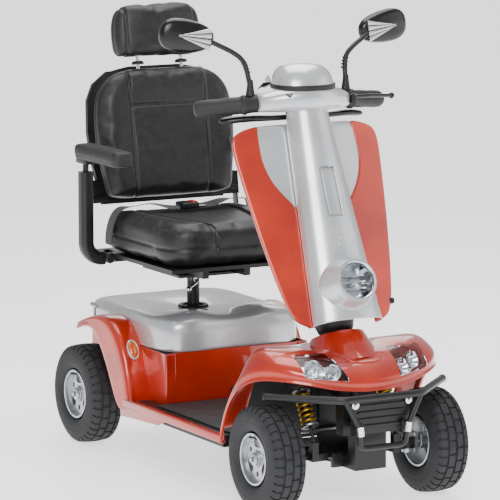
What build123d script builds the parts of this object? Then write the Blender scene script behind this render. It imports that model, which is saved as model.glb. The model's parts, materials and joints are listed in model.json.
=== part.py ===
from build123d import *
import os
from math import cos, radians, sin

# Four-wheel mobility scooter. Millimetres, +Z up, the front faces -Y, the driver's left is +X.
# The origin is on the floor at the middle of the scooter's bounding box.

os.makedirs("parts", exist_ok=True)

# ---------------------------------------------------------------- driving dimensions
FRONT_Y, REAR_Y = -520, 570          # axle lines, a wheelbase of 1090
FRONT_X, REAR_X = 264, 279           # wheel centres, half the track
WHEEL_R, TYRE_W, RIM_R = 150, 106, 74
STUB_R, HUB_R, RUN_FIT = 10, 24, 0.05
KINGPIN_X, KINGPIN_R = 190, 8
ARM_PIVOT_X, ARM_PIVOT_Z = 70, 140
SPRING_X = 132                       # front spring and damper, side offset
SPRING_FOOT, SPRING_HEAD = (-550, 192), (-475, 326)   # (y, z) of the damper's two ends
LEAN = 23.1                          # lean of the tiller and its steering axis from vertical
TILT_Y, TILT_Z = -452, 455           # tiller tilt pivot, on the steering axis
FLOOR_Z = 182                        # top of the footwell floor
FLOOR_X = 300                        # half the footwell's width
BODY_X, BODY_Y0, BODY_Y1 = 240, 138, 690   # rear body: half width, front face, back face
BODY_TOP = 334
COVER_X, COVER_TOP = 236, 431
SEAT_Y = 413                         # seat post centre
POST_R = 19
SEAT_X, SEAT_Z0, SEAT_Z1 = 250, 585, 715   # cushion: half width, underside, top
BACK_LEAN = 9
RECLINE_Y, RECLINE_Z = 610, 660
ARM_X, ARM_Y, ARM_Z = 297, 540, 567  # arm frame: upright's x, its y, height of the cross tube
PAD_Z0, PAD_Z1 = 866, 924
WALL = 4

UP = (0, sin(radians(LEAN)), cos(radians(LEAN)))          # up along the tiller
AHEAD = (0, -cos(radians(LEAN)), sin(radians(LEAN)))      # square to the tiller, forwards
# Shield plane: x across, y up the tiller, z forwards. Its origin is at the shield's lower edge.
SHIELD = Plane(origin=(0, -505, 503), x_dir=(1, 0, 0), z_dir=AHEAD)
# Steering plane: z runs up the steering axis from the tilt pivot.
STEER = Plane(origin=(0, TILT_Y, TILT_Z), x_dir=(1, 0, 0), z_dir=UP)
# Back plane: the front face of the back cushion, x across, y up the back.
BACK_UP = (0, sin(radians(BACK_LEAN)), cos(radians(BACK_LEAN)))
BACK = Plane(
    origin=(0, 530, 760), x_dir=(1, 0, 0),
    z_dir=(0, -cos(radians(BACK_LEAN)), sin(radians(BACK_LEAN))),
)
SIDES = (("left", 1), ("right", -1))


def block(x0, x1, y0, y1, z0, z1, mode=Mode.ADD):
    """A box between two corners, in the part being built."""
    with Locations(((x0 + x1) / 2, (y0 + y1) / 2, (z0 + z1) / 2)):
        Box(abs(x1 - x0), abs(y1 - y0), abs(z1 - z0), mode=mode)


def pair(x0, x1, y0, y1, z0, z1, mode=Mode.ADD):
    """The same box on both sides of the scooter."""
    for side in (1, -1):
        block(side * x0, side * x1, y0, y1, z0, z1, mode)


def rod(start, end, radius, mode=Mode.ADD):
    """A round bar between two points, in the part being built."""
    axis = Vector(*end) - Vector(*start)
    with BuildSketch(Plane(origin=start, z_dir=axis)) as section:
        Circle(radius)
    extrude(section.sketch, amount=axis.length, mode=mode)


def side_shape(points, x0, x1, mode=Mode.ADD):
    """An outline in the YZ plane, extruded from x0 to x1."""
    with BuildSketch(Plane.YZ.offset(min(x0, x1))) as outline:
        Polygon(*points, align=None)
    extrude(outline.sketch, amount=abs(x1 - x0), mode=mode)


# ---------------------------------------------------------------- wheels
WHEELS = (
    ("front_left", 1, FRONT_X, FRONT_Y), ("front_right", -1, FRONT_X, FRONT_Y),
    ("rear_left", 1, REAR_X, REAR_Y), ("rear_right", -1, REAR_X, REAR_Y),
)
DISC_IN, DISC_OUT = 22, 31           # the spoked disc's two faces, from the wheel's middle

for place, side, wheel_x, wheel_y in WHEELS:
    centre = (side * wheel_x, wheel_y, WHEEL_R)
    section = Plane(origin=centre, x_dir=(1, 0, 0), z_dir=(0, -1, 0))
    spin = Axis(centre, (1, 0, 0))

    with BuildPart() as tyre:
        with BuildSketch(section):
            with BuildLine():
                Line((-44, RIM_R), (-44, 80))
                ThreePointArc((-44, 80), (-53, 108), (-41, 137))
                ThreePointArc((-41, 137), (0, WHEEL_R), (41, 137))
                ThreePointArc((41, 137), (53, 108), (44, 80))
                Polyline((44, 80), (44, RIM_R), (33, RIM_R), (33, 80))
                ThreePointArc((33, 80), (43, 106), (33, 129))
                ThreePointArc((33, 129), (0, 140), (-33, 129))
                ThreePointArc((-33, 129), (-43, 106), (-33, 80))
                Polyline((-33, 80), (-33, RIM_R), (-44, RIM_R))
            make_face()
        revolve(axis=spin)
    tyre.part.label = f"tyre_{place}"
    export_step(tyre.part, f"parts/tyre_{place}.step")

    outward = Plane(origin=centre, x_dir=(0, side, 0), z_dir=(side, 0, 0))
    with BuildPart() as rim:
        for near, far, outer, inner in ((-46, 46, RIM_R, RIM_R - 7), (-40, 38, HUB_R, 0)):
            with BuildSketch(outward.offset(near)):
                Circle(outer)
                if inner:
                    Circle(inner, mode=Mode.SUBTRACT)
            extrude(amount=far - near)
        with BuildSketch(outward.offset(DISC_IN)):
            Circle(RIM_R - 3)
        extrude(amount=DISC_OUT - DISC_IN)
        with BuildSketch(outward.offset(DISC_IN - 1)):
            with PolarLocations(46, 3, start_angle=90):
                SlotOverall(40, 26, rotation=90)
            with PolarLocations(43, 3, start_angle=30):
                Circle(7)
        extrude(amount=DISC_OUT - DISC_IN + 2, mode=Mode.SUBTRACT)
        with BuildSketch(outward.offset(-60)):
            Circle(STUB_R + RUN_FIT)
        extrude(amount=120, mode=Mode.SUBTRACT)
    rim.part.label = f"rim_{place}"
    export_step(rim.part, f"parts/rim_{place}.step")

# ---------------------------------------------------------------- chassis frame
RAIL_X0, RAIL_X1, RAIL_Y0, RAIL_Z0, RAIL_Z1 = 135, 165, -322, 112, 142
NOSE_X0, NOSE_X1, NOSE_Y0, NOSE_Y1 = 80, 108, -440, -410   # narrow front rails, clear of the steered tyres
NOSE_PLATE_Z0 = 215
REAR_RAIL_Z0, REAR_RAIL_Z1 = 230, 260
TRAIL_Y, TRAIL_Z, TRAIL_R = 320, 127, 8      # rear swing arm's pivot tube
HEAD_R, STEM_R = 22, 12
TOWER_Z0, TOWER_Z1 = 326, 336
ACCESSORY_SPACING, ACCESSORY_R = 100, 4.25   # rear bolt holes for an accessory

with BuildPart() as chassis_frame:
    pair(RAIL_X0, RAIL_X1, RAIL_Y0, 455, RAIL_Z0, RAIL_Z1)
    block(-RAIL_X1, RAIL_X1, RAIL_Y0, RAIL_Y0 + 25, RAIL_Z0, RAIL_Z1)
    pair(NOSE_X0, NOSE_X1, NOSE_Y0, RAIL_Y0 + 25, RAIL_Z0, RAIL_Z1)
    block(-NOSE_X1, NOSE_X1, NOSE_Y0, NOSE_Y1, RAIL_Z0, RAIL_Z1)
    block(-50, 50, -602, NOSE_Y1, RAIL_Z0, RAIL_Z1)
    block(-90, 90, -640, -600, NOSE_PLATE_Z0, 300)
    block(-50, 50, -640, -600, RAIL_Z0, NOSE_PLATE_Z0)
    # riser over the rear axle, rear rails and rear cross member
    pair(RAIL_X0, RAIL_X1, 425, 455, RAIL_Z0, REAR_RAIL_Z1)
    pair(RAIL_X0, RAIL_X1, 425, 680, REAR_RAIL_Z0, REAR_RAIL_Z1)
    block(-RAIL_X1, RAIL_X1, 662, 680, REAR_RAIL_Z0, REAR_RAIL_Z1)
    # battery tray bars and seat tower
    for near, far in ((165, 185), (300, 325)):
        block(-RAIL_X1, RAIL_X1, near, far, RAIL_Z1, 150)
    pair(RAIL_X0, RAIL_X1, 385, 441, RAIL_Z1, 165)
    block(-RAIL_X1, RAIL_X1, 385, 441, 165, 175)
    rod((-RAIL_X0, TRAIL_Y, TRAIL_Z), (RAIL_X0, TRAIL_Y, TRAIL_Z), TRAIL_R)
    # ears and pins of the front suspension arms
    for near, far in ((-570, -559), (-481, -470)):
        pair(48, 82, near, far, RAIL_Z0, 152)
    for side in (1, -1):
        x = side * ARM_PIVOT_X
        rod((x, -560, ARM_PIVOT_Z), (x, -480, ARM_PIVOT_Z), 6)
    # front tower: column, plate, gusset and the steering head tube
    block(-50, 50, -440, -425, RAIL_Z1, TOWER_Z1)
    block(-155, 155, -500, -425, TOWER_Z0, TOWER_Z1)
    block(-6, 6, -515, -430, 288, TOWER_Z0)
    with BuildSketch(STEER.offset(-245)):
        Circle(HEAD_R)
    extrude(amount=175)
    # upper damper tubes, open below
    foot = Vector(0, *SPRING_FOOT)
    stroke = Vector(0, *SPRING_HEAD) - foot
    for side in (1, -1):
        shift = Vector(side * SPRING_X, 0, 0)
        start = shift + foot + stroke * 0.53
        end = shift + foot + stroke * 0.98
        rod(start, end, 15.5)
        rod(start, (start + stroke * 0.38), 12.5, Mode.SUBTRACT)
    with BuildSketch(STEER.offset(-260)):
        Circle(STEM_R + RUN_FIT)
    extrude(amount=220, mode=Mode.SUBTRACT)
    with BuildSketch(Plane.XZ.offset(-700)):
        with Locations((0, (REAR_RAIL_Z0 + REAR_RAIL_Z1) / 2)):
            with GridLocations(ACCESSORY_SPACING, 1, 2, 1):
                Circle(ACCESSORY_R)
    extrude(amount=45, mode=Mode.SUBTRACT)
chassis_frame.part.label = "chassis_frame"
export_step(chassis_frame.part, "parts/chassis_frame.step")

# ---------------------------------------------------------------- front suspension and steering
STEER_ARM = 66                       # knuckle arm length, kingpin to tie rod
TIE_Y = FRONT_Y + STEER_ARM

for place, side in SIDES:
    king_x = side * KINGPIN_X
    with BuildPart() as suspension_arm:
        block(side * 74, side * 178, -541, -499, 134.5, 148)
        block(side * 122, side * 142, -562, -500, 132, 148)
        block(side * 122, side * 142, -562, -542, 132, 186)
        rod((side * ARM_PIVOT_X, -558, ARM_PIVOT_Z), (side * ARM_PIVOT_X, -482, ARM_PIVOT_Z), 10)
        rod((king_x, FRONT_Y, 135), (king_x, FRONT_Y, 165), 16)
        foot_at = Vector(side * SPRING_X, *SPRING_FOOT) - stroke * 0.06
        rod(foot_at, (foot_at + stroke * 0.62), 4.5)
        rod((king_x, FRONT_Y, 130), (king_x, FRONT_Y, 170), KINGPIN_R + RUN_FIT, Mode.SUBTRACT)
        pivot = ((side * ARM_PIVOT_X, -570, ARM_PIVOT_Z), (side * ARM_PIVOT_X, -470, ARM_PIVOT_Z))
        rod(*pivot, 6 + RUN_FIT, Mode.SUBTRACT)
    suspension_arm.part.label = f"suspension_arm_{place}"
    export_step(suspension_arm.part, f"parts/suspension_arm_{place}.step")

    with BuildPart() as front_spring:
        lower = Vector(side * SPRING_X, *SPRING_FOOT) + stroke * 0.30
        upper = Vector(side * SPRING_X, *SPRING_FOOT) + stroke * 0.92
        rod(lower, upper, 25)
        rod((lower - stroke * 0.05), (upper + stroke * 0.05), 17, Mode.SUBTRACT)
    front_spring.part.label = f"front_spring_{place}"
    export_step(front_spring.part, f"parts/front_spring_{place}.step")

    with BuildPart() as knuckle:
        rod((king_x, FRONT_Y, 120), (king_x, FRONT_Y, 180), KINGPIN_R)
        for low in (122, 167):
            rod((king_x, FRONT_Y, low), (king_x, FRONT_Y, low + 11), 15)
            block(king_x, side * 216, FRONT_Y - 15, FRONT_Y + 15, low, low + 11)
        block(side * 207, side * 217, FRONT_Y - 18, FRONT_Y + 18, 122, 178)
        rod((side * 212, FRONT_Y, WHEEL_R), (side * (FRONT_X + 36), FRONT_Y, WHEEL_R), STUB_R)
        block(king_x - 8, king_x + 8, FRONT_Y, TIE_Y + 8, 168, 176)
    knuckle.part.label = f"knuckle_{place}"
    export_step(knuckle.part, f"parts/knuckle_{place}.step")

with BuildPart() as tie_rod:
    rod((-KINGPIN_X - 8, TIE_Y, 197), (KINGPIN_X + 8, TIE_Y, 197), 6)
    for side in (1, -1):
        rod((side * KINGPIN_X, TIE_Y, 187), (side * KINGPIN_X, TIE_Y, 197), 7)
    block(-9, 9, -503, TIE_Y, 199, 204)
tie_rod.part.label = "tie_rod"
export_step(tie_rod.part, "parts/tie_rod.step")

with BuildPart() as steering_stem:
    for low, high, radius in ((-276, -36, STEM_R), (-69, -60, 30), (-276, -256, 17)):
        with BuildSketch(STEER.offset(low)):
            Circle(radius)
        extrude(amount=high - low)
    with BuildSketch(STEER.offset(-270)):
        with Locations((0, 25)):
            SlotOverall(70, 20, rotation=90)
    extrude(amount=6)
    with BuildSketch(STEER.offset(-60)):
        Rectangle(56, 34)
    extrude(amount=30)
    for ear_x in (20, -28):
        with BuildSketch(Plane.YZ.offset(ear_x)):
            with Locations((TILT_Y - 16 * UP[1], TILT_Z - 16 * UP[2])):
                SlotCenterToCenter(40, 34, rotation=90 - LEAN)
        extrude(amount=8)
    rod((-28, TILT_Y, TILT_Z), (28, TILT_Y, TILT_Z), 8)
steering_stem.part.label = "steering_stem"
export_step(steering_stem.part, "parts/steering_stem.step")

# ---------------------------------------------------------------- rear axle unit
with BuildPart() as rear_axle:
    rod((-205, REAR_Y, WHEEL_R), (205, REAR_Y, WHEEL_R), 25)
    rod((-REAR_X - 36, REAR_Y, WHEEL_R), (REAR_X + 36, REAR_Y, WHEEL_R), STUB_R)
    block(-60, 60, 518, 590, 98, 202)
    for side in (1, -1):
        block(side * 90, side * 110, TRAIL_Y, 560, 118, 136)
        rod((side * 88, TRAIL_Y, TRAIL_Z), (side * 112, TRAIL_Y, TRAIL_Z), 12)
        rod((side * 150, REAR_Y, WHEEL_R), (side * 150, REAR_Y, 178), 22)
    rod((-130, TRAIL_Y, TRAIL_Z), (130, TRAIL_Y, TRAIL_Z), TRAIL_R + RUN_FIT, Mode.SUBTRACT)
rear_axle.part.label = "rear_axle"
export_step(rear_axle.part, "parts/rear_axle.step")

with BuildPart() as drive_motor:
    rod((-55, 637, 156), (113, 637, 156), 40)
    rod((113, 637, 156), (126, 637, 156), 26)
drive_motor.part.label = "drive_motor"
export_step(drive_motor.part, "parts/drive_motor.step")

with BuildPart() as rear_springs:
    for side in (1, -1):
        rod((side * 150, REAR_Y, 178.5), (side * 150, REAR_Y, 229.5), 22)
        rod((side * 150, REAR_Y, 170), (side * 150, REAR_Y, 240), 15, Mode.SUBTRACT)
rear_springs.part.label = "rear_springs"
export_step(rear_springs.part, "parts/rear_springs.step")

# ---------------------------------------------------------------- footwell floor
FOOT_Y0 = -318                       # front of the floor, where the bulkhead rises
with BuildPart() as floor_pan:
    with BuildSketch(Plane.XY.offset(148)):
        Polygon((-FLOOR_X, -332), (-238, -332), (-238, FOOT_Y0), (238, FOOT_Y0), (238, -332),
                (FLOOR_X, -332), (FLOOR_X, 232), (244, 232), (244, 136), (-244, 136),
                (-244, 232), (-FLOOR_X, 232), align=None)
    extrude(amount=FLOOR_Z - 148)
    block(-FLOOR_X + WALL, FLOOR_X - WALL, FOOT_Y0 + WALL, 136 - WALL, 140, FLOOR_Z - WALL, Mode.SUBTRACT)
    # bulkhead that rises to the cowl, with the tunnel over the steering gear
    side_shape([(FOOT_Y0, 150), (FOOT_Y0, FLOOR_Z), (-392, 400), (-397, 398), (FOOT_Y0 - 5, FLOOR_Z - 2),
                (FOOT_Y0 - 5, 150)], -236, 236)
floor_pan.part.label = "floor_pan"
export_step(floor_pan.part, "parts/floor_pan.step")

# ---------------------------------------------------------------- front cowl and headlights
NOSE_HALF = ((0, -672), (90, -660), (194, -618), (262, -548), (300, -450), (312, -334))
ARCH_Y, ARCH_Z, ARCH_R = -553, 180, 192      # front wheel arch
COWL_TOP = 440


def cowl_block(inset):
    """The cowl's outer form, pulled in by inset all round."""
    with BuildPart() as form:
        with BuildSketch(Plane.XY.offset(100)):
            Polygon(*NOSE_HALF, *[(-x, y) for x, y in reversed(NOSE_HALF[1:])], align=None)
            if inset:
                offset(amount=-inset, kind=Kind.INTERSECTION)
        extrude(amount=COWL_TOP - 100)
        with BuildSketch(Plane.YZ.offset(-330)):
            Polygon((-690, 342 - 30 * inset), (-690, 366), (-652, 398), (-600, 428 - inset),
                    (-560, COWL_TOP - inset),
                    (-462, COWL_TOP - inset), (-405 - inset, 432 - 4 * inset), (-405 - inset, 342),
                    (-318 - inset, 160),
                    (-318 - inset, 150 - 10 * inset), (-420, 150 - 10 * inset),
                    (-560, 342 - 30 * inset), align=None)
        extrude(amount=660, mode=Mode.INTERSECT)
    return form.part


with BuildPart() as front_cowl:
    add(cowl_block(0))
    add(cowl_block(WALL + 1), mode=Mode.SUBTRACT)
    for side in (1, -1):
        rod((side * 112, ARCH_Y, ARCH_Z), (side * 330, ARCH_Y, ARCH_Z), ARCH_R, Mode.SUBTRACT)
    block(-242, 242, -420, -300, 100, 460, Mode.SUBTRACT)
    # neck round the steering axis
    with BuildSketch(STEER.offset(-48)):
        Circle(104)
    with BuildSketch(STEER.offset(6)):
        Circle(74)
    loft()
    with BuildSketch(STEER.offset(-60)):
        Circle(98)
    with BuildSketch(STEER.offset(8)):
        Circle(69)
    loft(mode=Mode.SUBTRACT)
    block(-242, 242, -420, -300, 100, 405, Mode.SUBTRACT)
    for side in (1, -1):
        with BuildSketch(Plane.XZ.offset(500)):
            Polygon((side * 80, 374), (side * 97, 426), (side * 200, 426), (side * 195, 388), align=None)
        extrude(amount=250, mode=Mode.SUBTRACT)
front_cowl.part.label = "front_cowl"
export_step(front_cowl.part, "parts/front_cowl.step")

with BuildPart() as headlights:
    for side in (1, -1):
        with BuildSketch(Plane.XZ.offset(500)):
            Polygon((side * 81, 375), (side * 98, 425), (side * 199, 425), (side * 194, 389), align=None)
        extrude(amount=250)
    add(cowl_block(0), mode=Mode.INTERSECT)
    add(cowl_block(22), mode=Mode.SUBTRACT)
headlights.part.label = "headlights"
export_step(headlights.part, "parts/headlights.step")

# ---------------------------------------------------------------- front bumper
BAR_R, LOOP_R, BAR_Z = 11, 8, 329
with BuildPart() as front_bumper:
    with BuildLine() as bar_path:
        FilletPolyline((-285, -553, BAR_Z), (-205, -628, BAR_Z), (-124, -705, BAR_Z), (124, -705, BAR_Z),
                       (205, -628, BAR_Z), (285, -553, BAR_Z), radius=(60, 45, 45, 60))
    with BuildSketch(Plane(origin=(-285, -553, BAR_Z), z_dir=(80, -75, 0))):
        Circle(BAR_R)
    sweep(path=bar_path.wires()[0])
    with BuildLine() as loop_path:
        FilletPolyline((-122, -706, BAR_Z), (-78, -712, 247), (-72, -704, 189), (72, -704, 189),
                       (78, -712, 247), (122, -706, BAR_Z), radius=(25, 18, 18, 25))
    with BuildSketch(Plane(origin=(-122, -706, BAR_Z), z_dir=(44, -6, BAR_Z - 411))):
        Circle(LOOP_R)
    sweep(path=loop_path.wires()[0])
    # brackets back to the frame
    pair(62, 76, -706, -640, 244, 258)
    block(-92, 92, -691, -686, 226, 318)
front_bumper.part.label = "front_bumper"
export_step(front_bumper.part, "parts/front_bumper.step")

# ---------------------------------------------------------------- rear body, fenders, lamps, cover
with BuildPart() as rear_body:
    with BuildSketch(Plane.XY.offset(BODY_TOP)):
        Polygon((-BODY_X, BODY_Y0), (BODY_X, BODY_Y0), (BODY_X, 400), (205, 420), (205, BODY_Y1),
                (-205, BODY_Y1), (-205, 420), (-BODY_X, 400), align=None)
        offset(amount=-WALL, kind=Kind.INTERSECTION, mode=Mode.SUBTRACT)
    extrude(amount=FLOOR_Z - 12 - BODY_TOP)
    block(-BODY_X, BODY_X, 490, 655, 160, 236, Mode.SUBTRACT)
    with BuildSketch(Plane.XZ.offset(-700)):
        with Locations((0, 245)):
            with GridLocations(ACCESSORY_SPACING, 1, 2, 1):
                Circle(12)
    extrude(amount=30, mode=Mode.SUBTRACT)
rear_body.part.label = "rear_body"
export_step(rear_body.part, "parts/rear_body.step")

FENDER_OUT = ((234, 150), (272, 288), (350, 396), (440, 410), (585, 368))
FENDER_IN = ((299, 150), (330, 205), (368, 275), (408, 340), (446, 392), (585, 359))
with BuildPart() as rear_fenders:
    for side in (1, -1):
        band = [*FENDER_OUT, *reversed(FENDER_IN)]
        side_shape(band, side * 242, side * 310)
        with BuildSketch(Plane.YZ.offset(side * 273.5 - 32.5)) as pocket:
            Polygon(*band, align=None)
            offset(amount=-WALL, kind=Kind.INTERSECTION)
        extrude(pocket.sketch, amount=65, mode=Mode.SUBTRACT)
        block(side * 242, side * 306, 236, 300, 140, 154, Mode.SUBTRACT)
        rod((side * 262, 556, 330), (side * 262, 556, 400), 6, Mode.SUBTRACT)
rear_fenders.part.label = "rear_fenders"
export_step(rear_fenders.part, "parts/rear_fenders.step")

with BuildPart() as signal_lamps:
    for side in (1, -1):
        slope = Plane(origin=(side * 262, 300, 326), x_dir=(1, 0, 0), z_dir=(0, -0.809, 0.588))
        with BuildSketch(slope.offset(1)):
            Ellipse(12, 25)
        extrude(amount=9)
        block(side * 140, side * 196, BODY_Y1, BODY_Y1 + 9, 262, 312)
signal_lamps.part.label = "signal_lamps"
export_step(signal_lamps.part, "parts/signal_lamps.step")

with BuildPart() as battery_cover:
    block(-COVER_X, COVER_X, 132, 694, BODY_TOP + 2, COVER_TOP)
    fillet(battery_cover.edges().filter_by(Axis.Z), 24)
    fillet(battery_cover.faces().sort_by(Axis.Z)[-1].edges(), 20)
    with BuildSketch(Plane.XY.offset(BODY_TOP)):
        with Locations((0, 413)):
            RectangleRounded(2 * (COVER_X - WALL), 562 - 2 * WALL, 20)
    extrude(amount=COVER_TOP - BODY_TOP - 18, mode=Mode.SUBTRACT)
    with BuildSketch(Plane.XY.offset(COVER_TOP - 20)):
        with Locations((0, 413)):
            RectangleRounded(2 * (COVER_X - 22), 562 - 44, 12)
    extrude(amount=16, mode=Mode.SUBTRACT)
    with Locations((0, SEAT_Y, COVER_TOP)):
        Cylinder(38, 40, mode=Mode.SUBTRACT)
battery_cover.part.label = "battery_cover"
export_step(battery_cover.part, "parts/battery_cover.step")

# ---------------------------------------------------------------- what the body holds
with BuildPart() as batteries:
    for side in (1, -1):
        block(side * 8, side * 206, 166, 332, 151, 318)
        for post_y in (190, 308):
            block(side * 180, side * 194, post_y - 7, post_y + 7, 318, 326)
batteries.part.label = "batteries"
export_step(batteries.part, "parts/batteries.step")

with BuildPart() as controller:
    block(-70, 70, 500, 640, 262, 304)
    for fin in range(-60, 61, 12):
        block(fin - 2, fin + 2, 505, 635, 304, 314)
controller.part.label = "controller"
export_step(controller.part, "parts/controller.step")

# ---------------------------------------------------------------- tiller
PANEL_T = 5
SPINE_W0, SPINE_W1, SPINE_H, SPINE_LEN = 109, 68, 69, 588
LAMP_V = 100
EDGE_HALF = ((108, 0), (148, 20), (170, 67), (190, 164), (207, 270), (221, 378), (230, 460), (236, 525),
             (226, 572), (196, 586), (154, 592))
INSERT_HALF = ((154, 640), (154, 560), (158, 500), (141, 428), (92, 358))


def shield_slab(top, bottom, half_outline):
    """A gently bowed sheet, cut to an outline that is mirrored about the middle."""
    with BuildPart() as sheet:
        with BuildSketch(Plane(origin=SHIELD.origin - Vector(*UP) * 10, x_dir=(1, 0, 0), z_dir=UP)):
            with BuildLine():
                ThreePointArc((-245, 24 + top), (0, top), (245, 24 + top))
                Line((245, 24 + top), (245, 24 + bottom))
                ThreePointArc((245, 24 + bottom), (0, bottom), (-245, 24 + bottom))
                Line((-245, 24 + bottom), (-245, 24 + top))
            make_face()
        extrude(amount=640)
        with BuildSketch(SHIELD.offset(-80)):
            Polygon(*half_outline, *[(-x, y) for x, y in reversed(half_outline)], align=None)
        extrude(amount=110, mode=Mode.INTERSECT)
    return sheet.part


with BuildPart() as shield_panel:
    add(shield_slab(0, PANEL_T, EDGE_HALF))
    with BuildSketch(SHIELD.offset(-80)):
        Polygon(*INSERT_HALF, *[(-x, y) for x, y in reversed(INSERT_HALF)], align=None)
    extrude(amount=110, mode=Mode.SUBTRACT)
shield_panel.part.label = "shield_panel"
export_step(shield_panel.part, "parts/shield_panel.step")

with BuildPart() as shield_insert:
    add(shield_slab(0, PANEL_T, EDGE_HALF))
    with BuildSketch(SHIELD.offset(-80)):
        Polygon(*INSERT_HALF, *[(-x, y) for x, y in reversed(INSERT_HALF)], align=None)
    extrude(amount=110, mode=Mode.INTERSECT)
shield_insert.part.label = "shield_insert"
export_step(shield_insert.part, "parts/shield_insert.step")

with BuildPart() as spine_cover:
    for inset, how in ((0, Mode.ADD), (3, Mode.SUBTRACT)):
        for v, half in ((0 - inset, SPINE_W0), (SPINE_LEN + inset, SPINE_W1)):
            level = Plane(origin=SHIELD.origin + Vector(*UP) * v, x_dir=(1, 0, 0), z_dir=UP)
            half -= inset
            crown = SPINE_H - inset
            with BuildSketch(level):
                with BuildLine():
                    ThreePointArc((-half, -1 + inset), (0, -crown), (half, -1 + inset))
                    Line((half, -1 + inset), (-half, -1 + inset))
                make_face()
        loft(mode=how)
    with BuildSketch(SHIELD.offset(3)):
        with Locations((0, LAMP_V)):
            Circle(89)
    extrude(amount=110, mode=Mode.SUBTRACT)
spine_cover.part.label = "spine_cover"
export_step(spine_cover.part, "parts/spine_cover.step")

lamp_plane = Plane(origin=SHIELD.origin + Vector(*UP) * LAMP_V, x_dir=(1, 0, 0), z_dir=AHEAD)
with BuildPart() as headlamp_housing:
    with BuildSketch(lamp_plane.offset(6)):
        Circle(88)
    with BuildSketch(lamp_plane.offset(92)):
        Circle(64)
    loft()
    with BuildSketch(lamp_plane.offset(92)):
        Circle(62)
    extrude(amount=14)
    with BuildSketch(lamp_plane.offset(20)):
        Circle(50)
    extrude(amount=90, mode=Mode.SUBTRACT)
headlamp_housing.part.label = "headlamp_housing"
export_step(headlamp_housing.part, "parts/headlamp_housing.step")

with BuildPart() as headlamp_lens:
    with BuildSketch(lamp_plane.offset(92)):
        Circle(50)
    extrude(amount=12)
headlamp_lens.part.label = "headlamp_lens"
export_step(headlamp_lens.part, "parts/headlamp_lens.step")

BAR_Y, BAR_TOP = -236, 1105
GRIP_IN, GRIP_OUT = (132, -237, 1105), (296, -171, 1089)
GRIP_DIR = Vector(164, 66, -16).normalized()


def along_grip(side, distance):
    """A point on the handlebar's slanted end, distance outwards from its bend."""
    point = Vector(*GRIP_IN) + GRIP_DIR * distance
    return (side * point.X, point.Y, point.Z)


MIRROR_AT = 26                       # mirror clamp, distance out along the slanted end
GRIP_AT = 42                         # inner end of the grip
MIRROR_Z = 1127                      # top of the clamp, where the mirror stem turns
BRAKE_X, BRAKE_Y = 156, -272         # brake lever pivot
THROTTLE_Y = -245
with BuildPart() as tiller_tube:
    rod((-18, TILT_Y, TILT_Z), (18, TILT_Y, TILT_Z), 16)
    with BuildSketch(STEER.offset(12)):
        Circle(18)
    extrude(amount=672)
    rod((-30, TILT_Y, TILT_Z), (30, TILT_Y, TILT_Z), 8 + RUN_FIT, Mode.SUBTRACT)
    block(-18, 18, -262, -176, 1084, 1106)
    rod((0, THROTTLE_Y, 1048), (0, THROTTLE_Y, 1086), 6)
    with BuildLine() as handle_path:
        Polyline(along_grip(-1, 178), (-GRIP_IN[0], *GRIP_IN[1:]), (-60, BAR_Y, BAR_TOP),
                 (60, BAR_Y, BAR_TOP), GRIP_IN, along_grip(1, 178))
    with BuildSketch(Plane(origin=along_grip(-1, 178), z_dir=(GRIP_DIR.X, -GRIP_DIR.Y, -GRIP_DIR.Z))):
        Circle(11)
    sweep(path=handle_path.wires()[0], transition=Transition.ROUND)
    for side in (1, -1):
        rod(along_grip(side, MIRROR_AT - 10), along_grip(side, MIRROR_AT + 10), 18)
        stand = along_grip(side, MIRROR_AT)
        rod(stand, (stand[0], stand[1], MIRROR_Z), 9)
    rod(along_grip(1, MIRROR_AT), (BRAKE_X, BRAKE_Y, 1099), 6)
    rod((BRAKE_X, BRAKE_Y, 1095), (BRAKE_X, BRAKE_Y, 1122), 4)
    rod((BRAKE_X, BRAKE_Y, 1095), (BRAKE_X, BRAKE_Y, 1106), 9)
tiller_tube.part.label = "tiller_tube"
export_step(tiller_tube.part, "parts/tiller_tube.step")

with BuildPart() as grips:
    for side in (1, -1):
        rod(along_grip(side, GRIP_AT), along_grip(side, 187), 24)
        rod(along_grip(side, GRIP_AT), along_grip(side, GRIP_AT + 5), 29)
        rod(along_grip(side, GRIP_AT - 1), along_grip(side, 178.3), 11.01, Mode.SUBTRACT)
grips.part.label = "grips"
export_step(grips.part, "parts/grips.step")

with BuildPart() as tiller_back:
    back_low, back_high = 34, 520
    with BuildSketch(Plane(origin=SHIELD.origin + Vector(*UP) * back_low, x_dir=(1, 0, 0), z_dir=UP)):
        with Locations((0, 70)):
            RectangleRounded(128, 92, 18)
            RectangleRounded(120, 84, 14, mode=Mode.SUBTRACT)
        with Locations((0, 22)):
            Rectangle(140, 30, mode=Mode.SUBTRACT)
    extrude(amount=back_high - back_low)
tiller_back.part.label = "tiller_back"
export_step(tiller_back.part, "parts/tiller_back.step")

# the dashboard face of the console, where the dial and the key turn
DASH_AT = (-155, 1140)
DASH_OUT = (0, 0.539, 0.842)
DIAL_X, KEY_X = 52, -52

# console: a shroud over the handlebar with the instrument pod on top
CONSOLE_SIDE = ((-318, 1078), (-330, 1100), (-312, 1142), (-262, 1164), (-180, 1156), (-130, 1124),
                (-140, 1092), (-165, 1078))


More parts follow.
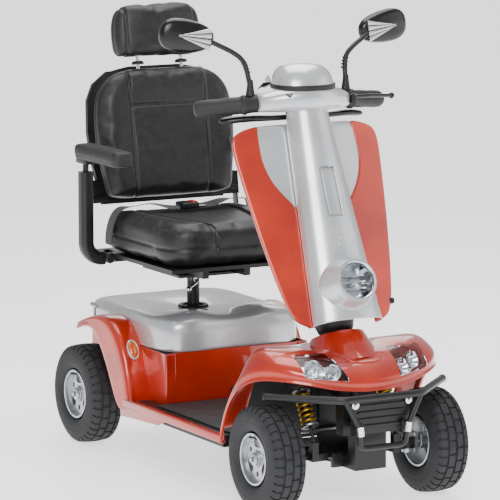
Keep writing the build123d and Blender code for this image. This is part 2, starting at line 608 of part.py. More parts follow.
def console_form(inset):
    """The shroud's outer form, pulled in by inset."""
    with BuildPart() as form:
        with BuildSketch(Plane.YZ.offset(-144 + inset)):
            Polygon(*CONSOLE_SIDE, align=None)
            if inset:
                offset(amount=-inset, kind=Kind.INTERSECTION)
        extrude(amount=288 - 2 * inset)
        with Locations((0, -262, 1126)):
            Sphere(94 - inset)
        block(-144, 144, -360, -100, 1078 + inset, 1240, Mode.INTERSECT)
        with BuildSketch(Plane.XY.offset(1000)):
            Polygon((-144 + inset, -235), (-100, -330 + inset), (100, -330 + inset), (144 - inset, -235),
                    (120 - inset, -130 - inset), (-120 + inset, -130 - inset), align=None)
        extrude(amount=300, mode=Mode.INTERSECT)
    return form.part


with BuildPart() as console:
    add(console_form(0))
    add(console_form(4), mode=Mode.SUBTRACT)
    for side in (1, -1):
        rod(along_grip(side, -60), along_grip(side, 40), 21, Mode.SUBTRACT)
    rod((100, -236, 1104), (BRAKE_X, -262, 1102), 10, Mode.SUBTRACT)
    with BuildSketch(STEER.offset(560)):
        Circle(20)
    extrude(amount=150, mode=Mode.SUBTRACT)
    block(-22, 22, -266, -150, 1070, 1085, Mode.SUBTRACT)
    for hole_x in (DIAL_X, KEY_X):
        dash = Plane(origin=(hole_x, *DASH_AT), x_dir=(1, 0, 0), z_dir=DASH_OUT)
        with BuildSketch(dash.offset(-12)):
            Circle(5 + RUN_FIT)
        extrude(amount=30, mode=Mode.SUBTRACT)
console.part.label = "console"
export_step(console.part, "parts/console.step")

with BuildPart() as speed_dial:
    dash = Plane(origin=(DIAL_X, *DASH_AT), x_dir=(1, 0, 0), z_dir=DASH_OUT)
    for low, high, radius in ((0.6, 6, 17), (6, 16, 14), (-9, 1, 5)):
        with BuildSketch(dash.offset(low)):
            Circle(radius)
        extrude(amount=high - low)
    with BuildSketch(dash.offset(15)):
        Rectangle(4, 26)
    extrude(amount=4)
speed_dial.part.label = "speed_dial"
export_step(speed_dial.part, "parts/speed_dial.step")

with BuildPart() as ignition_key:
    dash = Plane(origin=(KEY_X, *DASH_AT), x_dir=(1, 0, 0), z_dir=DASH_OUT)
    for low, high, radius in ((-9, 1, 5), (0.6, 4, 9)):
        with BuildSketch(dash.offset(low)):
            Circle(radius)
        extrude(amount=high - low)
    with BuildSketch(dash.offset(3)):
        Rectangle(3, 9)
    extrude(amount=10)
    with BuildSketch(dash.offset(12)):
        SlotOverall(24, 4, rotation=90)
    extrude(amount=20)
ignition_key.part.label = "ignition_key"
export_step(ignition_key.part, "parts/ignition_key.step")

with BuildPart() as throttle_lever:
    rod((0, THROTTLE_Y, 1052), (0, THROTTLE_Y, 1070), 13)
    for side in (1, -1):
        rod((0, THROTTLE_Y, 1060), (side * 112, -238, 1058), 6)
        rod((side * 112, -238, 1058), (side * 150, -216, 1054), 6)
        rod((side * 150, -216, 1054), (side * 228, -186, 1048), 8)
    rod((0, THROTTLE_Y, 1040), (0, THROTTLE_Y, 1080), 6 + RUN_FIT, Mode.SUBTRACT)
throttle_lever.part.label = "throttle_lever"
export_step(throttle_lever.part, "parts/throttle_lever.step")

with BuildPart() as brake_lever:
    rod((BRAKE_X, BRAKE_Y, 1107), (BRAKE_X, BRAKE_Y, 1119), 10)
    rod((BRAKE_X, BRAKE_Y, 1113), (206, -266, 1112), 5.5)
    rod((206, -266, 1112), (306, -232, 1104), 5.5)
    with Locations((306, -232, 1104)):
        Sphere(9)
    rod((BRAKE_X, BRAKE_Y, 1100), (BRAKE_X, BRAKE_Y, 1125), 4 + RUN_FIT, Mode.SUBTRACT)
brake_lever.part.label = "brake_lever"
export_step(brake_lever.part, "parts/brake_lever.step")

# ---------------------------------------------------------------- mirrors
for place, side in SIDES:
    base = along_grip(side, MIRROR_AT)
    with BuildPart() as mirror:
        rod((base[0], base[1], MIRROR_Z + 0.3), (base[0], base[1], MIRROR_Z + 14), 11)
        with BuildLine() as stem_path:
            Spline((base[0], base[1], MIRROR_Z + 10), (side * 160, -212, 1205), (side * 190, -201, 1248),
                   (side * 262, -176, 1284), tangents=((0, 0, 1), (side, 0.3, 0.4)))
        with BuildSketch(Plane(origin=(base[0], base[1], MIRROR_Z + 10), z_dir=UP)):
            Circle(7)
        sweep(path=stem_path.wires()[0])
        face = Plane(origin=(side * 321, -160, 1297), x_dir=(cos(radians(8)), 0.10 * side, side * 0.14),
                     z_dir=(-side * 0.10, 1, 0))
        with BuildSketch(face.offset(-20)):
            RectangleRounded(160, 88, 36)
        with BuildSketch(face.offset(16)):
            RectangleRounded(168, 96, 40)
        loft()
    mirror.part.label = f"mirror_{place}"
    export_step(mirror.part, f"parts/mirror_{place}.step")

# ---------------------------------------------------------------- seat post, swivel plate and pan
with BuildPart() as seat_socket:
    rod((0, SEAT_Y, 175), (0, SEAT_Y, 404), 25)
    rod((0, SEAT_Y, 170), (0, SEAT_Y, 410), POST_R + RUN_FIT, Mode.SUBTRACT)
seat_socket.part.label = "seat_socket"
export_step(seat_socket.part, "parts/seat_socket.step")

with BuildPart() as seat_post:
    for low, high, radius in ((200, 520, POST_R), (519, 526, 45), (526, 535, 15)):
        rod((0, SEAT_Y, low), (0, SEAT_Y, high), radius)
seat_post.part.label = "seat_post"
export_step(seat_post.part, "parts/seat_post.step")

LEVER_Y, LEVER_Z = 330, 518          # swivel lever pivot
with BuildPart() as seat_swivel:
    block(-110, 110, 293, 533, 527, 535)
    pair(86, 92, 303, 523, 534, 547)
    rod((0, SEAT_Y, 520), (0, SEAT_Y, 540), 15 + RUN_FIT, Mode.SUBTRACT)
    for near, far in ((-52, -47), (-33, -28)):
        block(near, far, LEVER_Y - 7, LEVER_Y + 7, 511, 528)
    rod((-52, LEVER_Y, LEVER_Z), (-28, LEVER_Y, LEVER_Z), 2.5)
seat_swivel.part.label = "seat_swivel"
export_step(seat_swivel.part, "parts/seat_swivel.step")

with BuildPart() as swivel_lever:
    rod((-46, LEVER_Y, LEVER_Z), (-34, LEVER_Y, LEVER_Z), 6)
    rod((-40, LEVER_Y - 2, LEVER_Z - 4), (-41, LEVER_Y - 18, 506), 4)
    rod((-41, LEVER_Y - 17, 507), (-80, LEVER_Y - 40, 494), 4)
    with Locations((-82, LEVER_Y - 42, 493)):
        Sphere(9)
    rod((-50, LEVER_Y, LEVER_Z), (-30, LEVER_Y, LEVER_Z), 2.5 + RUN_FIT, Mode.SUBTRACT)
swivel_lever.part.label = "swivel_lever"
export_step(swivel_lever.part, "parts/swivel_lever.step")

with BuildPart() as seat_pan:
    block(-225, 225, 120, 526, 572, 583)
    pair(60, 80, 200, 520, 536, 573)
    rod((-205, ARM_Y, ARM_Z), (205, ARM_Y, ARM_Z), 17)
    pair(100, 200, 545, 612, 572, 583)
    pair(190, 257, 585, 612, 572, 583)
    pair(252.5, 257, 585, 625, 572, 675)
    rod((-264, RECLINE_Y, RECLINE_Z), (-256, RECLINE_Y, RECLINE_Z), 8)
    rod((256, RECLINE_Y, RECLINE_Z), (264, RECLINE_Y, RECLINE_Z), 8)
    rod((-210, ARM_Y, ARM_Z), (210, ARM_Y, ARM_Z), 13, Mode.SUBTRACT)
seat_pan.part.label = "seat_pan"
export_step(seat_pan.part, "parts/seat_pan.step")

# ---------------------------------------------------------------- seat
with BuildPart() as seat_cushion:
    with BuildSketch(Plane.XY.offset(SEAT_Z0)) as plan:
        Polygon((-SEAT_X, 95), (SEAT_X, 95), (SEAT_X, 575), (-SEAT_X, 575), align=None)
        fillet(plan.vertices().filter_by_position(Axis.Y, 90, 100), 105)
        fillet(plan.vertices().filter_by_position(Axis.Y, 570, 580), 40)
    extrude(amount=SEAT_Z1 - SEAT_Z0)
    fillet(seat_cushion.faces().sort_by(Axis.Z)[-1].edges(), 38)
    fillet(seat_cushion.faces().sort_by(Axis.Z)[0].edges(), 26)
seat_cushion.part.label = "seat_cushion"
export_step(seat_cushion.part, "parts/seat_cushion.step")

BACK_HALF = ((212, -36), (220, 0), (243, 100), (250, 190), (243, 290), (218, 342), (165, 380), (0, 388))
HEAD_X, HEAD_N = 74, -40             # headrest posts
BACK_OUTLINE = [*BACK_HALF, *[(-x, v) for x, v in reversed(BACK_HALF[:-1])]]
with BuildPart() as back_cushion:
    with BuildSketch(BACK.offset(-75)):
        Polygon(*BACK_OUTLINE, align=None)
    extrude(amount=75)
    fillet(back_cushion.faces().sort_by(Axis((0, 0, 0), tuple(BACK.z_dir)))[-1].edges(), 16)
    with BuildSketch(Plane(origin=BACK.origin + Vector(*BACK_UP) * 250, x_dir=(1, 0, 0), z_dir=BACK_UP)):
        with Locations((HEAD_X, -HEAD_N), (-HEAD_X, -HEAD_N)):
            Circle(7.5)
    extrude(amount=160, mode=Mode.SUBTRACT)
back_cushion.part.label = "back_cushion"
export_step(back_cushion.part, "parts/back_cushion.step")

with BuildPart() as back_shell:
    with BuildSketch(BACK.offset(-92)):
        Polygon(*BACK_OUTLINE, align=None)
        offset(amount=-8, kind=Kind.INTERSECTION)
    extrude(amount=15)
    with BuildSketch(BACK.offset(-92)):
        with Locations((226, 10), (-226, 10)):
            Rectangle(72, 70)
    extrude(amount=15)
    for side in (1, -1):
        side_shape([(596, 645), (626, 645), (650, 790), (624, 790)], side * 258, side * 262)
        rod((side * 250, RECLINE_Y, RECLINE_Z), (side * 270, RECLINE_Y, RECLINE_Z), 8.05, Mode.SUBTRACT)
back_shell.part.label = "back_shell"
export_step(back_shell.part, "parts/back_shell.step")

with BuildPart() as headrest:
    with BuildSketch(BACK.offset(-88)):
        with Locations((0, 493)):
            RectangleRounded(316, 170, 52)
    extrude(amount=96)
    fillet(headrest.faces().sort_by(Axis((0, 0, 0), tuple(BACK.z_dir)))[-1].edges(), 34)
    fillet(headrest.faces().sort_by(Axis((0, 0, 0), tuple(BACK.z_dir)))[0].edges(), 30)
    with BuildSketch(Plane(origin=BACK.origin + Vector(*BACK_UP) * 262, x_dir=(1, 0, 0), z_dir=BACK_UP)):
        with Locations((HEAD_X, -HEAD_N), (-HEAD_X, -HEAD_N)):
            Circle(6)
    extrude(amount=170)
headrest.part.label = "headrest"
export_step(headrest.part, "parts/headrest.step")

# ---------------------------------------------------------------- arms
PAD_PIVOT_Z = 880
for place, side in SIDES:
    with BuildPart() as arm_frame:
        with BuildLine() as arm_path:
            FilletPolyline((side * 240, ARM_Y, ARM_Z), (side * ARM_X, ARM_Y, ARM_Z),
                           (side * ARM_X, ARM_Y, 832),
                           radius=50)
        with BuildSketch(Plane(origin=(side * 240, ARM_Y, ARM_Z), z_dir=(side, 0, 0))):
            RectangleRounded(42, 42, 15)
        sweep(path=arm_path.wires()[0])
        rod((side * 72, ARM_Y, ARM_Z), (side * 245, ARM_Y, ARM_Z), 12.95)
        rod((side * ARM_X, ARM_Y, 828), (side * ARM_X, ARM_Y, 872), 9)
        rod((side * (ARM_X - 10), ARM_Y, PAD_PIVOT_Z), (side * (ARM_X + 10), ARM_Y, PAD_PIVOT_Z), 12)
        rod((side * (ARM_X - 12), ARM_Y, PAD_PIVOT_Z), (side * (ARM_X + 12), ARM_Y, PAD_PIVOT_Z), 4.05,
            Mode.SUBTRACT)
    arm_frame.part.label = f"arm_frame_{place}"
    export_step(arm_frame.part, f"parts/arm_frame_{place}.step")

    with BuildPart() as arm_pad:
        block(side * 258, side * 338, 271, 561, PAD_Z0, PAD_Z1)
        fillet(arm_pad.edges().filter_by(Axis.Z), 16)
        fillet(arm_pad.faces().sort_by(Axis.Z)[-1].edges(), 12)
        block(side * (ARM_X - 12), side * (ARM_X + 12), 512, 570, PAD_Z0 - 2, 899, Mode.SUBTRACT)
        rod((side * (ARM_X - 16), ARM_Y, PAD_PIVOT_Z), (side * (ARM_X + 16), ARM_Y, PAD_PIVOT_Z), 4)
    arm_pad.part.label = f"arm_pad_{place}"
    export_step(arm_pad.part, f"parts/arm_pad_{place}.step")

# ---------------------------------------------------------------- belt and freewheel lever
with BuildPart() as lap_belt:
    for side in (1, -1):
        block(side * 34, side * 212, 417, 463, SEAT_Z1 + 0.6, SEAT_Z1 + 2.6)
    block(-33, 33, 412, 468, SEAT_Z1 + 0.8, SEAT_Z1 + 20)
lap_belt.part.label = "lap_belt"
export_step(lap_belt.part, "parts/lap_belt.step")

with BuildPart() as freewheel_lever:
    rod((-262, 556, 340), (-262, 556, 416), 4)
    rod((-262, 538, 420), (-262, 574, 420), 7)
freewheel_lever.part.label = "freewheel_lever"
export_step(freewheel_lever.part, "parts/freewheel_lever.step")
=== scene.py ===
import json
from math import atan2, cos, pi, radians, sin

import bpy
from mathutils import Matrix, Vector

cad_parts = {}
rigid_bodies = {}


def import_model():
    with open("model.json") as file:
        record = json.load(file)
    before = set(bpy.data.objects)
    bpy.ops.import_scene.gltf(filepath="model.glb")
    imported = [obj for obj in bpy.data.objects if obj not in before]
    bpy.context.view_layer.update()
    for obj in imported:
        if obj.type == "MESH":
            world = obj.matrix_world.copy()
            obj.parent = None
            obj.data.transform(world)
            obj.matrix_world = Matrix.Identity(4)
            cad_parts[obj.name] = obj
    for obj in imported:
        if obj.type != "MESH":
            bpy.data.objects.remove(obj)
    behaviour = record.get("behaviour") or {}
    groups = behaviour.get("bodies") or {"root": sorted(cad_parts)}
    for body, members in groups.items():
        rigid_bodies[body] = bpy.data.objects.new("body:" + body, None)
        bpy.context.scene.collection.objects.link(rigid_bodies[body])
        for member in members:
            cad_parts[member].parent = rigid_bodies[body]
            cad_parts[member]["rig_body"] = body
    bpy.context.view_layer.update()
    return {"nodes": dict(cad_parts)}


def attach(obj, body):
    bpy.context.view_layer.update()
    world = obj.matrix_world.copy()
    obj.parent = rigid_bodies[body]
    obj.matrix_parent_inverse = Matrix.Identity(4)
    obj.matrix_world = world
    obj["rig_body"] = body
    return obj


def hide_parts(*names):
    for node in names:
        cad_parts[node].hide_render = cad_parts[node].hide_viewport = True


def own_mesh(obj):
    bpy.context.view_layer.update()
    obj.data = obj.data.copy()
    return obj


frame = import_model()
nodes = frame["nodes"]

# Four-wheel mobility scooter. Metres, +Z up, the front faces -Y, +X is the driver's left.
LEAN = radians(23.1)                 # the tiller leans back this far
UP = Vector((0, sin(LEAN), cos(LEAN)))
AHEAD = Vector((0, -cos(LEAN), sin(LEAN)))
SHIELD_AT = Vector((0, -0.505, 0.503))
NECK_AT = Vector((0, -0.452, 0.455))  # the steering axis leaves the hood here
BACK_LEAN = radians(9)
BACK_UP = Vector((0, sin(BACK_LEAN), cos(BACK_LEAN)))
BACK_OUT = Vector((0, -cos(BACK_LEAN), sin(BACK_LEAN)))
BACK_AT = Vector((0, 0.530, 0.760))
MM = 0.001


def on_shield(x, up, out):
    """A point given across, up along and out from the shield, in millimetres."""
    return SHIELD_AT + Vector((x * MM, 0, 0)) + UP * up * MM + AHEAD * out * MM


def on_back(x, up, out):
    """A point given across, up along and out from the seat back's front face, in millimetres."""
    return BACK_AT + Vector((x * MM, 0, 0)) + BACK_UP * up * MM + BACK_OUT * out * MM


# ------------------------------------------------------------------ camera
def make_camera():
    bpy.ops.object.camera_add(
        location=(-4.98067, -8.98416, 2.22580),
        rotation=(radians(90 - 8.752), 0, radians(-28.85)),
    )
    camera = bpy.context.object
    camera.name = "studio_camera"
    camera.data.sensor_width = 36
    camera.data.lens = 256.4
    bpy.context.scene.camera = camera


# ------------------------------------------------------------------ modelling helpers
def clear_selection():
    if bpy.context.object and bpy.context.object.mode != "OBJECT":
        bpy.ops.object.mode_set(mode="OBJECT")
    bpy.ops.object.select_all(action="DESELECT")


def take(piece):
    """Makes piece the only selected and active object."""
    clear_selection()
    piece.select_set(True)
    bpy.context.view_layer.objects.active = piece


def apply(piece, kind, **settings):
    """Adds a modifier and applies it."""
    take(piece)
    modifier = piece.modifiers.new(kind.lower(), kind)
    for key, value in settings.items():
        setattr(modifier, key, value)
    bpy.ops.object.modifier_apply(modifier=modifier.name)


def pick(piece, test, kind="FACE"):
    """Goes to edit mode with only the faces or edges chosen by test(centre, normal or direction)."""
    take(piece)
    bpy.ops.object.mode_set(mode="EDIT")
    bpy.ops.mesh.select_mode(type=kind)
    bpy.ops.mesh.select_all(action="DESELECT")
    bpy.ops.object.mode_set(mode="OBJECT")
    mesh = piece.data
    if kind == "FACE":
        for face in mesh.polygons:
            face.select = bool(test(face.center, face.normal))
    else:
        for edge in mesh.edges:
            a, b = (mesh.vertices[i].co for i in edge.vertices)
            edge.select = bool(test((a + b) / 2, (b - a).normalized()))
    bpy.ops.object.mode_set(mode="EDIT")


def out_of_edit():
    bpy.ops.object.mode_set(mode="OBJECT")


def smooth(piece, angle=35):
    take(piece)
    bpy.ops.object.shade_smooth_by_angle(angle=radians(angle))


def settle(piece, name, material, body, replaces=(), angle=35):
    """Names a finished piece, puts its place in its mesh, gives it its material and its body."""
    take(piece)
    if piece.type != "MESH":
        bpy.ops.object.convert(target="MESH")
        piece = bpy.context.object
    bpy.ops.object.transform_apply(location=True, rotation=True, scale=True)
    piece.name = name
    piece.data.name = name
    piece.data.materials.clear()
    piece.data.materials.append(material)
    if angle:
        smooth(piece, angle)
    else:
        bpy.ops.object.shade_smooth()
    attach(piece, body)
    if replaces:
        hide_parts(*replaces)
    clear_selection()
    return piece


def for_pair(side, node):
    """The node that a left and a right piece share: the left one takes its place."""
    return [node] if side > 0 else ()


def turned(direction):
    """The rotation that turns +Z to direction."""
    return Vector(direction).to_track_quat("Z", "Y").to_euler()


def disc(start, end, radius, sides=48, tip=None):
    """A round bar from start to end, given in metres."""
    start, end = Vector(start), Vector(end)
    clear_selection()
    bpy.ops.mesh.primitive_cone_add(
        vertices=sides, radius1=radius, radius2=radius if tip is None else tip,
        depth=(end - start).length, location=(start + end) / 2, rotation=turned(end - start),
    )
    return bpy.context.object


def slab(low, high):
    """A box between two corners, in metres."""
    clear_selection()
    low, high = Vector(low), Vector(high)
    bpy.ops.mesh.primitive_cube_add(size=1, location=(low + high) / 2, scale=high - low)
    piece = bpy.context.object
    bpy.ops.object.transform_apply(location=True, rotation=True, scale=True)
    return piece


def rounded(low, high, radius, segments=4):
    piece = slab(low, high)
    apply(piece, "BEVEL", width=radius, segments=segments, limit_method="NONE")
    return piece


def pipe(points, radius, closed=False, sides=8, kind="NURBS"):
    """A bent tube along points, its ends capped."""
    clear_selection()
    curve = bpy.data.curves.new("pipe", "CURVE")
    curve.dimensions = "3D"
    spline = curve.splines.new(kind)
    spline.points.add(len(points) - 1)
    for point, place in zip(spline.points, points):
        point.co = (*place, 1)
    spline.use_cyclic_u = closed
    if kind == "NURBS":
        spline.order_u = 3
        spline.use_endpoint_u = not closed
        spline.resolution_u = 8
    curve.bevel_depth = radius
    curve.bevel_resolution = sides
    curve.use_fill_caps = True
    piece = bpy.data.objects.new("pipe", curve)
    bpy.context.scene.collection.objects.link(piece)
    take(piece)
    bpy.ops.object.convert(target="MESH")
    return bpy.context.object


def skin(rows, wrap=False, levels=2, thick=0, offset=-1):
    """A smooth surface through rows of points. With wrap each row is a closed ring."""
    clear_selection()
    columns = len(rows[0]) + (1 if wrap else 0)
    bpy.ops.mesh.primitive_grid_add(x_subdivisions=columns - 1, y_subdivisions=len(rows) - 1)
    piece = bpy.context.object
    for index, vertex in enumerate(piece.data.vertices):
        row = rows[index // columns]
        vertex.co = row[index % columns % len(row)]
    bpy.ops.object.mode_set(mode="EDIT")
    bpy.ops.mesh.select_all(action="SELECT")
    bpy.ops.mesh.remove_doubles(threshold=0.00005)
    bpy.ops.mesh.normals_make_consistent(inside=False)
    out_of_edit()
    if thick:
        apply(piece, "SOLIDIFY", thickness=thick, offset=offset, use_even_offset=True)
    if levels:
        apply(piece, "SUBSURF", levels=levels, render_levels=levels)
    return piece


def cap_ends(piece):
    """Closes the open rims of a skin with a filled face."""
    take(piece)
    bpy.ops.object.mode_set(mode="EDIT")
    bpy.ops.mesh.select_mode(type="EDGE")
    bpy.ops.mesh.select_all(action="DESELECT")
    bpy.ops.mesh.select_non_manifold(extend=False)
    bpy.ops.mesh.edge_face_add()
    bpy.ops.mesh.select_all(action="SELECT")
    bpy.ops.mesh.normals_make_consistent(inside=False)
    out_of_edit()


def join(pieces):
    clear_selection()
    for piece in pieces:
        piece.select_set(True)
    bpy.context.view_layer.objects.active = pieces[0]
    bpy.ops.object.join()
    return bpy.context.object


def cut(piece, tool, operation="DIFFERENCE"):
    """Takes tool away from piece, and removes tool."""
    apply(piece, "BOOLEAN", object=tool, operation=operation, solver="EXACT")
    bpy.data.objects.remove(tool)


def other_side(piece):
    """A mirrored copy of piece for the other side of the scooter, with its own mesh."""
    take(piece)
    bpy.ops.object.duplicate()
    copy = bpy.context.object
    bpy.ops.object.transform_apply(location=True, rotation=True, scale=True)
    copy.scale.x = -1
    bpy.ops.object.transform_apply(location=False, rotation=False, scale=True)
    bpy.ops.object.mode_set(mode="EDIT")
    bpy.ops.mesh.select_all(action="SELECT")
    bpy.ops.mesh.normals_make_consistent(inside=False)
    out_of_edit()
    return copy


def from_cad(node, material, bevel=0.0012, slot=None):
    """A CAD node's own shape with its edges broken, as a real part's are."""
    source = nodes[node]
    copy = bpy.data.objects.new(node + "_finished", source.data.copy())
    bpy.context.scene.collection.objects.link(copy)
    take(copy)
    bpy.ops.object.mode_set(mode="EDIT")
    bpy.ops.mesh.select_all(action="SELECT")
    bpy.ops.mesh.remove_doubles(threshold=0.00001)
    bpy.ops.mesh.dissolve_limited(angle_limit=radians(1))
    out_of_edit()
    apply(copy, "BEVEL", width=bevel, segments=2, limit_method="ANGLE", angle_limit=radians(40))
    piece = settle(copy, node + "_finished", material, source["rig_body"], [node], 35)
    apply(piece, "WEIGHTED_NORMAL", keep_sharp=True, weight=100)
    clear_selection()
    return piece


# ------------------------------------------------------------------ materials
def colour(code):
    """An sRGB hex colour as the linear values that Blender's shaders take."""
    levels = [int(code[start:start + 2], 16) / 255 for start in (1, 3, 5)]
    return [v / 12.92 if v <= 0.04045 else ((v + 0.055) / 1.055) ** 2.4 for v in levels] + [1]


def add(tree, kind, settings=None, **links):
    """Adds a shader node with its settings and the links into its inputs."""
    node = tree.nodes.new("ShaderNode" + kind)
    for key, value in (settings or {}).items():
        if isinstance(key, int) or key in node.inputs:
            node.inputs[key].default_value = value
        else:
            setattr(node, key, value)
    for key, source in links.items():
        tree.links.new(source, node.inputs[key.replace("_", " ")])
    return node


def new_material(name, **shader):
    """A material whose constants sit on the shader itself, and the place where its patterns are read."""
    material = bpy.data.materials.new(name)
    material.use_nodes = True
    tree = material.node_tree
    body = tree.nodes["Principled BSDF"]
    for key, value in shader.items():
        body.inputs[key.replace("_", " ")].default_value = value
    place = add(tree, "TexCoord").outputs["Object"]
    return material, tree, body, place


def size(mm):
    """Texture scale for a pattern whose features are this many millimetres apart."""
    return 1000 / mm


def tones(tree, body, source, dark, light, low=0.35, high=0.65):
    """Base colour drifting between two tones with a pattern."""
    ramp = add(tree, "ValToRGB", Fac=source)
    ramp.color_ramp.elements[0].position = low
    ramp.color_ramp.elements[0].color = colour(dark)
    ramp.color_ramp.elements[1].position = high
    ramp.color_ramp.elements[1].color = colour(light)
    tree.links.new(ramp.outputs["Color"], body.inputs["Base Color"])
    return ramp


def shine(tree, body, source, low, high):
    """Roughness that follows a pattern between two values."""
    spread = add(tree, "MapRange", {"To Min": low, "To Max": high}, Value=source)
    tree.links.new(spread.outputs["Result"], body.inputs["Roughness"])


def relief(tree, body, source, strength, depth_mm, after=None):
    """A bump from a pattern, on top of an earlier bump."""
    settings = {"Strength": strength, "Distance": depth_mm * MM}
    bump = add(tree, "Bump", settings, Height=source)
    if after:
        tree.links.new(after.outputs["Normal"], bump.inputs["Normal"])
    tree.links.new(bump.outputs["Normal"], body.inputs["Normal"])
    return bump


def flake_paint(name, dark, light, metal, rough):
    """Metallic paint under clear lacquer: fine flakes that glint over the soft waviness of the spray."""
    material, tree, body, place = new_material(
        name, Metallic=metal, Coat_Weight=1.0, Coat_Roughness=0.04, Coat_IOR=1.5)
    flakes = add(tree, "TexVoronoi", {"Scale": size(1.1)}, Vector=place)
    drift = add(tree, "TexNoise", {"Scale": size(160), "Detail": 2.0}, Vector=place)
    blend = add(tree, "MixRGB", {"Fac": 0.22}, Color1=drift.outputs["Fac"], Color2=flakes.outputs["Color"])
    tones(tree, body, blend.outputs["Color"], dark, light, 0.30, 0.72)
    shine(tree, body, flakes.outputs["Distance"], rough, rough + 0.12)
    peel = add(tree, "TexNoise", {"Scale": size(7), "Detail": 1.0}, Vector=place)
    relief(tree, body, peel.outputs["Fac"], 0.08, 0.15)
    return material


def powder_coat():
    """Black powder coat on steel: satin, with the fine pebble that baked powder leaves."""
    material, tree, body, place = new_material("black_powder_coat", Specular_IOR_Level=0.4, Coat_Weight=0.1,
                                               Coat_Roughness=0.3)
    pebble = add(tree, "TexNoise", {"Scale": size(1.6), "Detail": 3.0}, Vector=place)
    drift = add(tree, "TexNoise", {"Scale": size(60), "Detail": 3.0}, Vector=place)
    tones(tree, body, drift.outputs["Fac"], "#0b0b0c", "#161718")
    shine(tree, body, drift.outputs["Fac"], 0.32, 0.5)
    relief(tree, body, pebble.outputs["Fac"], 0.25, 0.25)
    return material


def moulded_plastic(name, dark, light, rough, grain_mm=1.4):
    """Injection-moulded ABS with a spark-eroded grain, a little shinier where hands rub it."""
    material, tree, body, place = new_material(name, IOR=1.54, Specular_IOR_Level=0.4)
    grain = add(tree, "TexVoronoi", {"Scale": size(grain_mm), "Randomness": 1.0}, Vector=place)
    rubbed = add(tree, "TexNoise", {"Scale": size(45), "Detail": 4.0}, Vector=place)
    tones(tree, body, rubbed.outputs["Fac"], dark, light)
    shine(tree, body, rubbed.outputs["Fac"], rough - 0.08, rough + 0.1)
    relief(tree, body, grain.outputs["Distance"], 0.22, 0.2)
    return material


def leatherette():
    """Black coated upholstery: a pebbled grain with fine crease lines and a soft sheen; its colour is paler
    on the crease ridges as a painted highlight and darker in the hollows as painted shade.
    """
    material, tree, body, place = new_material(
        "black_leatherette", Specular_IOR_Level=0.42, Sheen_Weight=0.05, Sheen_Roughness=0.45,
        Coat_Weight=0.1, Coat_Roughness=0.35)
    pebbles = add(tree, "TexVoronoi", {"Scale": size(3.0), "feature": "SMOOTH_F1"}, Vector=place)
    creases_and_shade = add(tree, "TexNoise", {"Scale": size(22), "Detail": 5.0, "Distortion": 0.6}, Vector=place)
    # painted light: the colour follows the crease relief, darker in the crease hollows as painted shade and
    # paler on the ridges as a painted highlight
    tones(tree, body, creases_and_shade.outputs["Fac"], "#0c0c0d", "#1b1b1d")
    shine(tree, body, creases_and_shade.outputs["Fac"], 0.36, 0.54)
    grain = relief(tree, body, pebbles.outputs["Distance"], 0.35, 0.4)
    relief(tree, body, creases_and_shade.outputs["Fac"], 0.25, 1.6, grain)
    return material


def tyre_rubber():
    """Carbon-black tyre rubber: dull, a little grey with dust, with a fine grit in its surface."""
    material, tree, body, place = new_material("tyre_rubber", IOR=1.52)
    dust = add(tree, "TexNoise", {"Scale": size(28), "Detail": 6.0, "Roughness": 0.65}, Vector=place)
    grit = add(tree, "TexNoise", {"Scale": size(1.8), "Detail": 2.0}, Vector=place)
    tones(tree, body, dust.outputs["Fac"], "#17181a", "#28292c")
    shine(tree, body, dust.outputs["Fac"], 0.62, 0.85)
    relief(tree, body, grit.outputs["Fac"], 0.3, 0.3)
    return material


def soft_rubber(name, dark, light):
    """Soft moulded rubber, matt with a fine skin."""
    material, tree, body, place = new_material(name, IOR=1.52)
    worn = add(tree, "TexNoise", {"Scale": size(35), "Detail": 4.0}, Vector=place)
    skin_grain = add(tree, "TexNoise", {"Scale": size(1.5), "Detail": 2.0}, Vector=place)
    tones(tree, body, worn.outputs["Fac"], dark, light)
    shine(tree, body, worn.outputs["Fac"], 0.5, 0.7)
    relief(tree, body, skin_grain.outputs["Fac"], 0.2, 0.25)
    return material


def ribbed_mat():
    """Black rubber floor mat with raised ribs across it, 12 mm apart."""
    material, tree, body, place = new_material("ribbed_mat_rubber", IOR=1.52)
    ribs = add(tree, "TexWave", {"Scale": size(12) / (2 * pi), "bands_direction": "Y"}, Vector=place)
    dust = add(tree, "TexNoise", {"Scale": size(30), "Detail": 5.0}, Vector=place)
    tones(tree, body, dust.outputs["Fac"], "#1b1b1c", "#2c2c2e")
    shine(tree, body, dust.outputs["Fac"], 0.55, 0.75)
    relief(tree, body, ribs.outputs["Fac"], 0.7, 1.5)
    return material


def metal(name, dark, light, low, high, scratch_mm=3.0, depth=0.08):
    """Bare metal with slight tone changes and fine marks from casting, turning or polishing."""
    material, tree, body, place = new_material(name, Metallic=1.0)
    cloud = add(tree, "TexNoise", {"Scale": size(24), "Detail": 4.0}, Vector=place)
    marks = add(tree, "TexNoise", {"Scale": size(scratch_mm), "Detail": 4.0}, Vector=place)
    tones(tree, body, cloud.outputs["Fac"], dark, light)
    shine(tree, body, marks.outputs["Fac"], low, high)
    relief(tree, body, marks.outputs["Fac"], depth, 0.3)
    return material


def clear_plastic():
    """Clear polycarbonate lamp cover: thin, hard and polished, with a trace of moulding flow."""
    material, tree, body, place = new_material(
        "clear_polycarbonate", Transmission_Weight=1.0, IOR=1.25, Roughness=0.02)
    body.inputs["Base Color"].default_value = colour("#F4F7FA")
    flow = add(tree, "TexNoise", {"Scale": size(30), "Detail": 1.0}, Vector=place)
    relief(tree, body, flow.outputs["Fac"], 0.1, 0.4)
    return material


